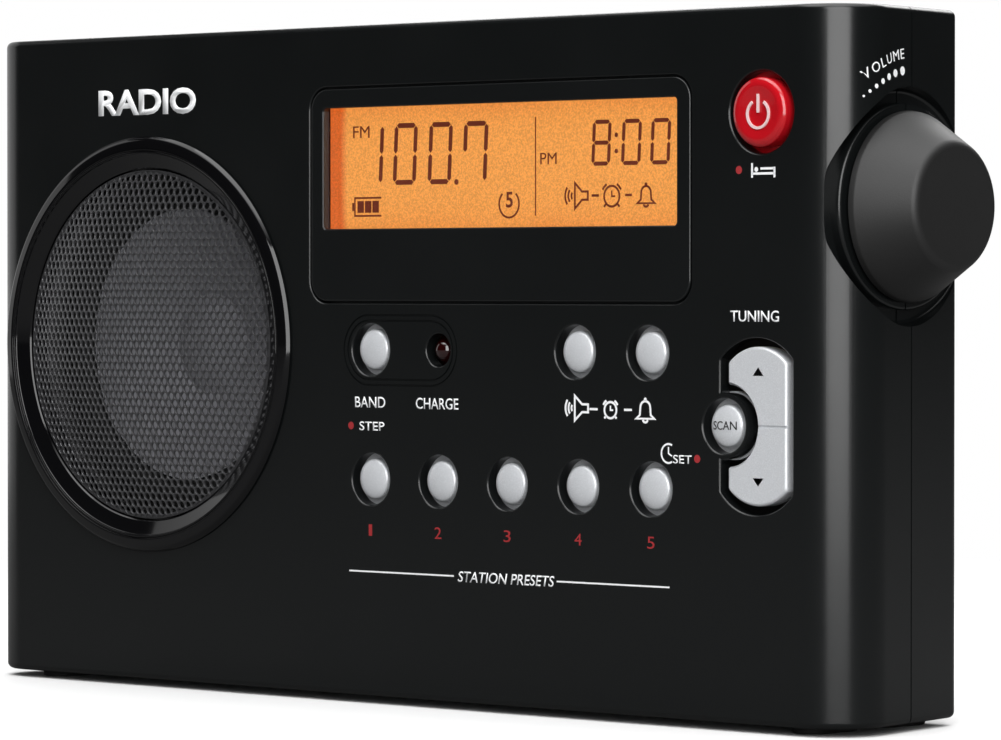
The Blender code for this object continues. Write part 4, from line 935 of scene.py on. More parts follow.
# ---- loudspeaker ----
@dataclass(frozen=True)
class Speaker:
    """The glossy bezel, the domed grille and the cone that shows through it."""

    rim: float = 0.0292  # radius at which the grille ends
    sag: float = 0.0042  # how far the grille's middle stands out
    edge_y: float = 0.0005  # depth of the grille's edge
    pitch: float = 0.00140  # distance between holes
    hole: float = 0.00059  # radius of a hole
    sheet: float = 0.0004  # thickness of the grille
    burr: float = 0.00005  # rounding of a hole's edge
    # section of the plain ring that closes the grille
    lip: Profile = ((0.0286, -0.0006), (0.0292, -0.0006), (0.0292, -0.0011), (0.0286, -0.0011))
    # section of the bezel
    bezel: Profile = ((0.0295, -0.0005), (0.0297, -0.0003), (0.0319, 0.0008), (0.0320, 0.0012),
                      (0.0323, 0.0012), (0.0324, 0.00095), (0.0325, 0.0012), (0.0329, 0.0012),
                      (0.0343, 0.0009), (0.0348, 0.0003), (0.0312, 0.0003), (0.0312, -0.0026),
                      (0.0283, -0.0026), (0.0283, -0.0017), (0.0295, -0.0017))
    # its fillets
    bezel_rounds: tuple[float, ...] = (0, 0.0001, 0.0003, 0.0001, 0.0001, 0.00005, 0.0001, 0.0008, 0.0012,
                                       0, 0, 0, 0, 0, 0)
    cap: float = 0.0085  # radius of the dust cap
    cap_sag: float = 0.0020  # how far the dust cap bulges
    cap_drop: float = 0.0042  # how far the dust cap's top lies behind the cone's edge
    neck: float = 0.0090  # radius of the cone's inner end
    slope: float = 0.0058  # how deep the cone is
    bow: float = 1.1  # how far the cone's side curves, 1 for straight
    ribs: int = 8  # number of ribs in the cone
    rib: float = 0.00012  # height of a rib
    roll: float = 0.0012  # height of the surround's roll
    flap: float = 0.0006  # width of the surround's flat edges and its thickness

    def build_bezel(self) -> None:
        """Turns the bezel, with a rolled outer lip and a sloping inner face."""
        section = soften(self.bezel, self.bezel_rounds, 6)
        bezel = lathe("bezel_ring", section, SPEAKER, Facing.FRONT, 200, ring=True)
        fit_out(polish(bezel, 35), GLOSS_BLACK, "casing", ["speaker_bezel"])

    def tile(self) -> bpy.types.Mesh:
        """Returns one six-sided tile of the sheet round its hole, facing +Z."""
        shape = bmesh.new()
        across = self.pitch / 2
        rings = []
        for radius, height in ((0.0, 0.0), (self.hole + self.burr, 0.0), (self.hole, -0.00008),
                               (self.hole, -self.sheet), (0.0, -self.sheet)):
            ring = []
            for i in range(12):
                turn = radians(30 * i)
                reach = radius or across / cos(radians(0 if i % 2 == 0 else 30))
                ring.append(shape.verts.new((reach * cos(turn), reach * sin(turn), height)))
            rings.append(ring)
        for one, two in zip(rings, rings[1:]):
            skin(shape, one, two)
        bmesh.ops.recalc_face_normals(shape, faces=shape.faces)
        for face in shape.faces:
            height = face.calc_center_median().z + self.sheet / 2
            if abs(face.normal.z) > 0.9 and face.normal.z * height < 0:
                face.normal_flip()
        mesh = bpy.data.meshes.new("tile")
        shape.to_mesh(mesh)
        shape.free()
        return mesh

    def build_grille(self) -> None:
        """Sets the tile out in rows, bends the sheet to its dome and closes its rim with a ring."""
        sphere = (self.rim**2 + self.sag**2) / (2 * self.sag)
        recipe = Recipe("perforated_grille", {"Pitch": self.pitch, "Rim": self.rim - 0.0002,
                                              "Sphere": sphere, "Columns": 45, "Rows": 53})
        row = recipe.sum("MULTIPLY", recipe.size("Pitch"), sqrt(0.75))
        wide = recipe.sum("MULTIPLY", recipe.size("Pitch"), recipe.sum("SUBTRACT", recipe.size("Columns"), 1))
        tall = recipe.sum("MULTIPLY", row, recipe.sum("SUBTRACT", recipe.size("Rows"), 1))
        grid = recipe.add("GeometryNodeMeshGrid", {"Size X": wide, "Size Y": tall,
                                                   "Vertices X": recipe.size("Columns"),
                                                   "Vertices Y": recipe.size("Rows")})
        place = recipe.add("ShaderNodeSeparateXYZ", {0: recipe.step("GeometryNodeInputPosition")})
        number = recipe.sum("ROUND", recipe.sum("DIVIDE", place.outputs["Y"], row))
        odd = recipe.sum("FLOORED_MODULO", number, 2.0)
        shift = recipe.sum("MULTIPLY", recipe.sum("MULTIPLY", odd, recipe.size("Pitch")), 0.5)
        offset = recipe.step("ShaderNodeCombineXYZ", {"X": shift})
        rows = recipe.step("GeometryNodeSetPosition", {"Geometry": grid.outputs[0], "Offset": offset})
        spot = recipe.step("GeometryNodeInputPosition")
        out = recipe.add("ShaderNodeVectorMath", {0: spot}, operation="LENGTH").outputs["Value"]
        margin = recipe.sum("ADD", recipe.size("Rim"), 0.0003)
        beyond = recipe.step("FunctionNodeCompare", {0: out, 1: margin}, data_type="FLOAT",
                             operation="GREATER_THAN")
        kept = recipe.step("GeometryNodeDeleteGeometry", {"Geometry": rows, "Selection": beyond})
        tiles = recipe.add("GeometryNodeInstanceOnPoints", {"Points": kept,
                                                            "Instance": recipe.start.outputs["Geometry"]})
        sheet = recipe.step("GeometryNodeRealizeInstances", {0: tiles.outputs[0]})
        joined = recipe.step("GeometryNodeMergeByDistance", {"Geometry": sheet, "Distance": 0.00002})
        here = recipe.step("GeometryNodeInputPosition")
        split = recipe.add("ShaderNodeSeparateXYZ", {0: here})
        flat = recipe.step("ShaderNodeCombineXYZ", {"X": split.outputs["X"], "Y": split.outputs["Y"]})
        reach = recipe.add("ShaderNodeVectorMath", {0: flat}, operation="LENGTH").outputs["Value"]
        held = recipe.sum("MINIMUM", reach, recipe.size("Rim"))
        share = recipe.sum("DIVIDE", held, recipe.sum("MAXIMUM", reach, 0.000001))
        inner = recipe.step("ShaderNodeVectorMath", {0: flat, "Scale": share}, operation="SCALE")
        below = recipe.sum("SQRT", recipe.sum("SUBTRACT", recipe.sum("POWER", recipe.size("Sphere"), 2.0),
                                              recipe.sum("POWER", held, 2.0)))
        height = recipe.sum("ADD", recipe.sum("SUBTRACT", below, recipe.size("Sphere")), split.outputs["Z"])
        rise = recipe.step("ShaderNodeCombineXYZ", {"Z": height})
        lifted = recipe.step("ShaderNodeVectorMath", {0: inner, 1: rise})
        domed = recipe.step("GeometryNodeSetPosition", {"Geometry": joined, "Position": lifted})
        centre = ORIGIN + Vector((SPEAKER.x, self.edge_y - self.sag, SPEAKER.z))
        placed = recipe.step("GeometryNodeTransform", {"Geometry": domed, "Translation": centre,
                                                      "Rotation": (pi / 2, 0, 0)})
        grille = recipe.run(placed, MESH_PAINT, self.tile())
        gather(grille, [lathe("grille_rim", self.lip, SPEAKER, Facing.FRONT, 160, ring=True)])
        fit_out(polish(grille, 35), MESH_PAINT, "casing", ["speaker_grille"])

    def build_cone(self) -> None:
        """Turns the ribbed cone with its dust cap, and the rolled surround."""
        low, high = corners("speaker_cone")
        radius, front, back = (high.x - low.x) / 2, -low.y, -high.y
        path = [(r, front - self.cap_drop + fall) for r, fall in dome(self.cap, self.cap_sag, 10)]
        path.append((self.neck, front - self.slope))
        for i in range(1, 40):
            share = i / 40
            ripple = self.rib * sin(share * self.ribs * 2 * pi)
            path.append((self.neck + (radius - self.neck) * share,
                         front - self.slope * (1 - share) ** self.bow + ripple))
        path += [(radius, front), (radius, front - 0.0005), (self.neck, back + 0.0004), (0.0, back)]
        cone = lathe("ribbed_cone", path, SPEAKER, Facing.FRONT, 96)
        fit_out(polish(cone, 60), CONE_PAPER, "casing", ["speaker_cone"])
        low, high = corners("speaker_surround")
        inner, outer, top = radius + GAP, (high.x - low.x) / 2, -low.y
        middle, half = (inner + outer) / 2, (outer - inner) / 2 - self.flap
        foot = top - self.roll
        path = [(inner, foot)]
        for i in range(17):
            turn = pi * i / 16
            path.append((middle - half * cos(turn), foot + self.roll * sin(turn)))
        path += [(outer, foot), (outer, foot - self.flap), (inner, foot - self.flap)]
        surround = lathe("rolled_surround", path, SPEAKER, Facing.FRONT, 96, ring=True)
        fit_out(polish(surround, 60), RUBBER, "casing", ["speaker_surround"])

    def build(self) -> None:
        """Builds and dresses the loudspeaker."""
        self.build_bezel()
        self.build_grille()
        self.build_cone()
        repaint(PLATED_STEEL, "speaker_basket")
        repaint(FERRITE, "speaker_magnet")


# ---- printing ----
@dataclass
class Ink:
    """A sheet of flat marks, pressed to a thin print on some surface."""

    name: str  # the print's name
    unit: float = 1.0  # the length of one unit of the sheet, in metres
    shape: bmesh.types.BMesh = field(default_factory=bmesh.new)  # the marks so far, flat in X and Y

    def polygon(self, points: Sequence[Point]) -> None:
        """Adds a filled outline."""
        self.shape.faces.new([self.shape.verts.new((x, y, 0)) for x, y in points])

    def line(self, points: Sequence[Point], width: float, closed: bool = False) -> None:
        """Adds a stroke along points.

        Args:
            points: the stroke's middle line.
            width: its width.
            closed: True where it comes back to its start.
        """
        count = len(points)
        left, right = [], []
        for i, point in enumerate(points):
            here = Vector(point)
            before = Vector(points[i - 1]) if i or closed else here
            after = Vector(points[(i + 1) % count]) if i < count - 1 or closed else here
            one, two = (here - before).normalized(), (after - here).normalized()
            along = (one + two).normalized() if (one + two).length > 0.1 else two
            across = Vector((-along.y, along.x))
            mitre = width / 2 / max(across.dot(Vector((-two.y, two.x))) if two.length else 1.0, 0.4)
            left.append(self.shape.verts.new((*(here + across * mitre), 0)))
            right.append(self.shape.verts.new((*(here - across * mitre), 0)))
        for i in range(count if closed else count - 1):
            j = (i + 1) % count
            self.shape.faces.new((left[i], right[i], right[j], left[j]))

    def disc(self, x: float, y: float, radius: float) -> None:
        """Adds a filled circle."""
        self.polygon(arc(x, y, radius, 0, 345, 23))

    def words(self, text: str, left: float, right: float, bottom: float, top: float, bold: float = 0.0,
              slant: float = 0.0, bend: Callable[[float, float], Point] | None = None) -> None:
        """Adds a word fitted to a box.

        Args:
            text: the word.
            left: its left edge.
            right: its right edge.
            bottom: its base line.
            top: the tops of its capitals.
            bold: how far its outlines are fattened, as a share of its height.
            slant: how far it leans.
            bend: moves its points, for a word on an arc.
        """
        curve = bpy.data.curves.new("word", "FONT")
        curve.body = text
        curve.offset = bold
        curve.resolution_u = 4
        made = bpy.data.objects.new("word", curve)
        link(made)
        bpy.context.view_layer.update()
        mesh = bpy.data.meshes.new_from_object(made.evaluated_get(bpy.context.evaluated_depsgraph_get()))
        drop(made)
        xs, ys = [v.co.x for v in mesh.vertices], [v.co.y for v in mesh.vertices]
        for v in mesh.vertices:
            x = left + (v.co.x - min(xs)) / (max(xs) - min(xs)) * (right - left)
            y = bottom + (v.co.y - min(ys)) / (max(ys) - min(ys)) * (top - bottom)
            x += slant * (y - (bottom + top) / 2)
            if bend:
                x, y = bend(x, y)
            v.co = (x, y, 0)
        self.shape.from_mesh(mesh)
        bpy.data.meshes.remove(mesh)

    def press(self, place: Callable[[float, float, float], Vector], finish: Finish,
              body: str = "casing", proud: float = 0.00002) -> Object:
        """Gives the marks a thickness, lays them on a surface and dresses them.

        Args:
            place: turns across, up and lift into a point of the casing's frame.
            finish: the ink.
            body: the body that the print moves with.
            proud: how far the print stands out.

        Returns:
            The print.
        """
        for v in self.shape.verts:
            v.co *= self.unit
        bmesh.ops.remove_doubles(self.shape, verts=self.shape.verts, dist=0.0000005)
        flat = self.shape.faces[:]
        raised = bmesh.ops.extrude_face_region(self.shape, geom=flat, use_keep_orig=True)
        for item in raised["geom"]:
            if isinstance(item, bmesh.types.BMVert):
                item.co.z = 1.0
        for v in self.shape.verts:
            v.co = place(v.co.x, v.co.y, proud if v.co.z > 0.5 else -proud / 2)
        return fit_out(stand(self.name, self.shape), finish, body)


def on_panel(across: float, up: float, lift: float) -> Vector:
    """Returns a point of the front panel, lifted off it."""
    return Vector((across, -lift, up))


def on_side(across: float, up: float, lift: float) -> Vector:
    """Returns a point of the right side, lifted off it."""
    lean = radians(CASE.taper)
    return Vector((side_x(across) + lift * cos(lean), across + lift * sin(lean), up))


@dataclass(frozen=True)
class Icons:
    """Generic signs, each drawn into a box of the sheet that they go on."""

    sheet: Ink  # the sheet
    stroke: float  # the width of their strokes

    def speaker(self, left: float, right: float, bottom: float, top: float) -> None:
        """Draws a loudspeaker that sounds to the left."""
        middle, tall = (bottom + top) / 2, top - bottom
        flat = left + (right - left) * 0.52
        neck, half = flat + (right - flat) * 0.55, tall * 0.16
        self.sheet.line([(flat, bottom), (flat, top), (neck, middle + half), (right, middle + half),
                         (right, middle - half), (neck, middle - half)], self.stroke, closed=True)
        for radius in (0.22, 0.40, 0.58):
            wave = arc(flat + tall * 0.02, middle, tall * radius * 0.92, 180 - 38, 180 + 38, 8)
            self.sheet.line(wave, self.stroke)

    def clock(self, x: float, y: float, radius: float) -> None:
        """Draws an alarm clock with its bells and feet."""
        self.sheet.line(arc(x, y, radius, 0, 345, 23), self.stroke, closed=True)
        self.sheet.line([(x, y + radius * 0.55), (x, y), (x + radius * 0.45, y)], self.stroke * 0.8)
        for side in (-1, 1):
            self.sheet.line(arc(x, y, radius * 1.34, 90 - side * 30, 90 - side * 62, 4), self.stroke)
            foot = Vector((x + side * radius * 0.72, y - radius * 0.72))
            self.sheet.line([tuple(foot), (foot.x + side * radius * 0.3, foot.y - radius * 0.3)], self.stroke)

    def bell(self, left: float, right: float, bottom: float, top: float) -> None:
        """Draws a bell with its clapper."""
        x, wide, tall = (left + right) / 2, (right - left) / 2, top - bottom
        base = bottom + tall * 0.2
        crown = arc(x, base + tall * 0.42, wide * 0.55, 0, 180, 10)
        self.sheet.line([(x + wide, base), (x + wide * 0.6, base + tall * 0.14), *crown,
                         (x - wide * 0.6, base + tall * 0.14), (x - wide, base)], self.stroke, closed=True)
        self.sheet.line(arc(x, base, wide * 0.3, 200, 340, 6), self.stroke)
        self.sheet.disc(x, top - tall * 0.06, self.stroke * 0.8)

    def bed(self, left: float, right: float, bottom: float, top: float) -> None:
        """Draws a bed seen from its side."""
        tall = top - bottom
        for start, end in (((left, bottom), (left, top)), ((right, bottom), (right, bottom + tall * 0.72)),
                           ((left, bottom + tall * 0.28), (right, bottom + tall * 0.28)),
                           ((left + tall * 0.75, bottom + tall * 0.62), (right, bottom + tall * 0.62))):
            self.sheet.line([start, end], self.stroke)
        self.sheet.disc(left + tall * 0.38, bottom + tall * 0.56, tall * 0.17)


# ---- display ----
SEGMENTS = {"0": "abcdef", "1": "bc", "2": "abged", "3": "abgcd", "4": "fgbc", "5": "afgcd", "6": "afgedc",
            "7": "fabc", "8": "abcdefg", "9": "abcfgd"}


@dataclass(frozen=True)
class Display:
    """The trim plate, the lens and the lit display with its marks."""

    lean: float = 0.052  # how far the figures lean, as a share of their height
    lcd_y: float = 0.0036  # depth of the lit face
    lift: float = 0.00003  # how far the marks stand off it
    round_off: float = 0.0003  # rounding of the plate's edges
    corner: float = 0.0034  # radius of the plate's corners

    def build_plate(self) -> None:
        """Builds the plate, with softened edges and a window through it."""
        low, high = corners("display_plate")
        soft = self.round_off
        section = [(-soft, -high.y), (0.0, -high.y + soft), (0.0, -soft)]
        section += [(-soft * (1 - cos(t)), -soft * (1 - sin(t)))
                    for t in [radians(22.5 * i) for i in range(1, 5)]]

        def outline(grow: float) -> list[Point]:
            """Returns the plate's outline, moved outwards by an amount."""
            return rounded_box(low.x - grow, high.x + grow, low.z - grow, high.z + grow, self.corner + grow)

        plate = front_loft("trim_plate", outline, section)
        opening = front_loft("opening", window_outline, mouth(soft) + [(0.0, -0.004)])
        combine(plate, [opening])
        fit_out(polish(plate, 34), PLATE_BLACK, "casing", ["display_plate"])

    def build_layers(self) -> None:
        """Builds the clear lens and the lit glass."""
        for name, node, finish, slot in (("window_lens", "display_lens", CLEAR_LENS, "clear_lens"),
                                         ("lit_glass", "lcd_panel", LitGlass(), "lcd")):
            low, high = corners(node)
            fit_out(polish(block(name, low, high, 0.0001), 40), finish, "casing", [node])

    def digit(self, sheet: Ink, figure: str, left: float, right: float, bottom: float, top: float,
              stroke: float) -> None:
        """Adds a seven-segment figure, leaning to the right.

        Args:
            sheet: the sheet.
            figure: the figure.
            left: its left edge.
            right: its right edge.
            bottom: its bottom edge.
            top: its top edge.
            stroke: the width of a segment.
        """
        half, middle, cut = stroke / 2, (bottom + top) / 2, stroke * 0.12
        rows = {"a": top - half, "g": middle, "d": bottom + half}
        for part in SEGMENTS[figure]:
            if part in rows:
                y, a, b = rows[part], left + half + cut, right - half - cut
                bar = [(a, y), (a + half, y + half), (b - half, y + half), (b, y), (b - half, y - half),
                       (a + half, y - half)]
            else:
                x = right - half if part in "bc" else left + half
                low, high = (middle, top - half) if part in "bf" else (bottom + half, middle)
                low, high = low + cut, high - cut
                bar = [(x, high), (x + half, high - half), (x + half, low + half), (x, low),
                       (x - half, low + half), (x - half, high - half)]
            sheet.polygon([(x + self.lean * (y - middle), y) for x, y in bar])

    def build_marks(self) -> None:
        """Prints what the display shows."""
        sheet = Ink("display_marks", MM)
        for figure, left, right in (("1", -5.9, -2.45), ("0", -0.05, 5.1), ("0", 7.75, 12.9),
                                    ("7", 15.4, 20.7)):
            self.digit(sheet, figure, left, right, 82.2, 92.1, 0.80)
        for figure, left, right in (("8", 43.1, 47.0), ("0", 49.3, 53.3), ("0", 55.3, 59.3)):
            self.digit(sheet, figure, left, right, 84.6, 91.7, 0.64)
        for x, z, radius in ((13.9, 82.5, 0.45), (48.15, 86.8, 0.36), (48.15, 89.3, 0.36)):
            sheet.disc(x, z, radius)
        sheet.words("FM", -9.3, -5.55, 89.9, 91.8)
        sheet.words("PM", 32.1, 35.6, 85.0, 86.8)
        sheet.words("5", 24.7, 26.2, 78.3, 80.8, bold=0.02)
        sheet.line(arc(25.4, 78.9, 2.15, 132, 408, 24), 0.32)
        sheet.line([(31.1, 77.0), (31.1, 92.4)], 0.22)
        sheet.line([(-2.9, 80.2), (-8.9, 80.2), (-8.9, 77.3), (-2.9, 77.3)], 0.30)
        sheet.line([(-9.3, 78.1), (-9.3, 79.4)], 0.4)
        for left in (-8.3, -6.6, -4.9):
            sheet.polygon([(left, 77.8), (left + 1.45, 77.8), (left + 1.45, 79.7), (left, 79.7)])
        icons = Icons(sheet, 0.34)
        icons.speaker(36.5, 42.2, 78.0, 82.0)
        icons.clock(47.2, 79.85, 1.6)
        icons.bell(52.5, 56.1, 77.9, 81.85)
        for left, right in ((43.0, 44.5), (50.0, 51.4)):
            sheet.line([(left, 80.0), (right, 80.0)], 0.4)
        face = self.lcd_y - self.lift
        sheet.press(lambda x, z, lift: Vector((x, face - lift, z)), LCD_INK)

    def build(self) -> None:
        """Builds and dresses the display."""
        self.build_plate()
        self.build_layers()
        self.build_marks()
        repaint(LIGHT_GUIDE, "lcd_backlight")


# ---- keys ----
@dataclass(frozen=True)
class Keys:
    """The round buttons, the tuning rocker and the charge lamp."""

    radius: float = 0.0033  # radius of a small cap
    shoulder: float = 0.97  # share of that radius at which the crown turns down
    bulge: float = 0.27  # height of a small cap's crown, as a share of its radius
    power_radius: float = 0.0053  # radius of the power cap
    # the power cap's crown, as shares of its radius and drops from its rim
    power_crown: Profile = ((0.0, 0.00035), (0.3, 0.00031), (0.55, 0.00016), (0.72, 0.00002), (0.80, 0.0),
                            (0.90, 0.00014), (0.97, 0.00042), (1.0, 0.0008))
    lower: float = 0.0010  # how far the small caps and the rocker stay below their packed height
    flange: float = 0.0019  # how far a cap's flange reaches past it
    flange_face: float = -0.0026  # height of the flange's front
    flange_back: float = -0.0034  # height of its back
    stem: float = 0.0016  # radius of a stem
    stem_end: float = -0.0084  # height of a stem's end
    roll: float = 0.0005  # rounding of the rocker's edges
    rocker_back: float = -0.0030  # height of the rocker's back
    bite: float = 0.0062  # radius of the rocker's cut-out round the scan button
    bite_lip: float = 0.0005  # how far that cut-out opens at the top
    split: float = 0.00022  # half the width of the groove across the rocker
    split_depth: float = 0.00025  # depth of that groove
    reach: float = 0.0058  # from the rocker's middle to its straight side
    stem_out: float = 0.0080  # from the rocker's middle to its stems
    boss: float = 0.0018  # half the height of the boss on the rocker's back
    boss_out: float = 0.0065  # from the scan button's middle to the boss
    boss_y: float = 0.0027  # depth of the boss's front
    pivot_y: float = 0.0052  # depth of the rocker's axis
    pin: float = 0.00095  # radius of the hole for the rocker's pin
    lamp: float = 0.0019  # radius of the charge lamp
    lamp_sag: float = 0.0014  # how far it bulges
    lamp_flange: float = 0.0028  # radius of its flange
    arrow_x: float = 0.07955  # the arrows' middle
    arrow: float = 0.00107  # half an arrow's width

    def cap(self, node: str, finish: Finish, slot: str, concave: bool = False) -> None:
        """Turns a button with its flange and stem.

        Args:
            node: the CAD node, which also names the body.
            finish: its finish.
            slot: not used.
            concave: True for a cap that is dished in its middle.
        """
        low = corners(node)[0]
        if concave:
            proud, radius = -low.y, self.power_radius
            crown = [(radius * share, proud - fall) for share, fall in self.power_crown]
        else:
            proud, radius = -low.y - self.lower, self.radius
            tall = radius * self.bulge
            crown = [(0.0, proud)]
            crown += [(radius * self.shoulder * sin(t), proud - tall * (1 - cos(t)))
                      for t in [radians(9.0 * i) for i in range(1, 11)]]
            crown.append((radius, proud - tall - 0.0003))
        flange = radius + self.flange
        skirt = [(radius, self.flange_face), (flange, self.flange_face), (flange, self.flange_back),
                 (self.stem, self.flange_back), (self.stem, self.stem_end), (0, self.stem_end)]
        made = lathe(node + "_cap", crown + skirt, on_face(node), Facing.FRONT, 72)
        fit_out(polish(made, 40), finish, node, [node])

    def build_rocker(self) -> None:
        """Builds the rocker with rolled edges, a bite round the scan button and a groove across."""
        low, middle, scan = corners("tuning_rocker")[0], centre_of("tuning_rocker"), centre_of("scan_button")
        proud = -low.y - self.lower
        section = [(0.0, self.rocker_back), (0.0, proud - self.roll)]
        section += [(-self.roll * (1 - cos(t)), proud - self.roll * (1 - sin(t)))
                    for t in [radians(15 * i) for i in range(1, 7)]]
        rocker = front_loft("rocker_cap", rocker_outline, section)
        lip = self.bite + self.bite_lip
        flare = [(0.0, 0.003), (lip + self.bite_lip, 0.003), (lip, proud), (self.bite, proud - 0.0007),
                 (self.bite, -0.01), (0.0, -0.01)]
        bite = lathe("bite", soften(flare, [0, 0, 0.0008, 0.0006, 0, 0]), on_face("scan_button"),
                     Facing.FRONT, 96)
        right = middle.x + self.reach
        split = block("split", (scan.x, -0.002, scan.z - self.split),
                      (right + 0.001, -proud + self.split_depth, scan.z + self.split))
        combine(rocker, [bite, split])
        boss = block("boss", (scan.x + self.boss_out, self.boss_y, scan.z - self.boss),
                     (right, self.pivot_y + self.boss, scan.z + self.boss), 0.0002)
        stems = [rod(f"stem_{side}", self.stem, self.stem_end, -self.boss_y,
                     Vector((middle.x, 0, scan.z + side * self.stem_out)), Facing.FRONT, 32)
                 for side in (-1, 1)]
        combine(rocker, [boss, *stems], "UNION")
        pin = rod("pin", self.pin, -FAR, FAR, Vector((right, self.pivot_y, scan.z)), Facing.RIGHT, 24)
        combine(rocker, [pin])
        fit_out(polish(rocker, 40), SILVER_PAINT, "tuning_rocker", ["tuning_rocker"])
        repaint(PLATED_STEEL, "rocker_pin")
        sheet = Ink("rocker_arrows")
        left, right = self.arrow_x - self.arrow, self.arrow_x + self.arrow
        sheet.polygon([(left, 0.0525), (right, 0.0525), (self.arrow_x, 0.0538)])
        sheet.polygon([(right, 0.03715), (left, 0.03715), (self.arrow_x, 0.0359)])
        sheet.press(lambda across, up, lift: Vector((across, -proud - lift + 0.00001, up)), BLACK_INK,
                    "tuning_rocker", 0.00001)

    def build_lamp(self) -> None:
        """Turns the charge lamp."""
        profile = [(r, -0.0002 + fall) for r, fall in dome(self.lamp, self.lamp_sag, 12)]
        profile += [(self.lamp, self.rocker_back), (self.lamp_flange, self.rocker_back),
                    (self.lamp_flange, self.stem_end), (0, self.stem_end)]
        lamp = lathe("charge_lamp", profile, on_face("charge_led"), Facing.FRONT, 48)
        fit_out(polish(lamp, 40), LAMP_LENS, "casing", ["charge_led"])

    def build(self) -> None:
        """Builds and dresses the keys."""
        for node in SMALL_KEYS:
            self.cap(node, SILVER_PAINT, "silver")
        self.cap("power_button", RED_GLOSS, "red", concave=True)
        self.build_rocker()
        self.build_lamp()
        self.print_marks()

    def print_marks(self) -> None:
        """Prints the sign on the power button and the word on the scan button."""
        power = centre_of("power_button")
        sheet = Ink("power_mark")
        sheet.line(arc(power.x, power.z - 0.0003, 0.0021, 122, 418, 28), 0.00042)
        sheet.line([(power.x, power.z - 0.0001), (power.x, power.z + 0.0027)], 0.00042)
        proud = -corners("power_button")[0].y
        sheet.press(lambda x, z, lift: Vector((x, -(proud - 0.00018 + lift), z)), PINK_INK,
                    "power_button", 0.00014)
        scan = centre_of("scan_button")
        sheet = Ink("scan_mark")
        sheet.words("SCAN", scan.x - 0.0023, scan.x + 0.0023, scan.z - 0.0006, scan.z + 0.0007)
        low = corners("scan_button")[0]

        def on_cap(x: float, z: float, lift: float) -> Vector:
            """Returns a point on the domed scan button."""
            out = min(hypot(x - scan.x, z - scan.z) / (self.radius * self.shoulder), 0.99)
            fall = self.radius * self.bulge * (1 - sqrt(1 - out * out))
            return Vector((x, low.y + self.lower + fall - lift, z))

        sheet.press(on_cap, BLACK_INK, "scan_button", 0.00006)


# ---- volume knob ----
@dataclass(frozen=True)
class VolumeKnob:
    """The soft-touch knob on the right side."""

    end: float = 0.0097  # radius of the end face
    hollow: float = 0.00030  # how far the end face's middle is sunk
    flat: float = 0.55  # share of that radius at which the hollow starts to rise
    draft: float = 0.0002  # how far the knob narrows at its lip
    lip: float = 0.0010  # height of the lip at its foot
    bore: float = 0.0032  # radius of the hole for the shaft
    bore_depth: float = 0.0073  # depth of that hole
    rounds: tuple[float, ...] = (0, 0.02, 0.0016, 0.0010, 0.0002, 0, 0, 0)  # fillets of its section

    def build(self) -> None:
        """Turns and dresses the knob, and finishes its shaft and control."""
        low, high = corners("volume_knob")
        long, base = high.x - low.x, (high.z - low.z) / 2
        path = [(0.0, long - self.hollow), (self.end * self.flat, long - 0.00022),
                (self.end - self.draft, long), (base - self.draft, self.lip), (base, 0.0), (self.bore, 0.0),
                (self.bore, self.bore_depth), (0.0, self.bore_depth)]
        knob = lathe("soft_knob", soften(path, self.rounds, 8), KNOB, Facing.RIGHT, 160)
        fit_out(polish(knob, 40), SOFT_TOUCH, "volume", ["volume_knob"])
        repaint(PLATED_STEEL, "volume_shaft", "volume_control")


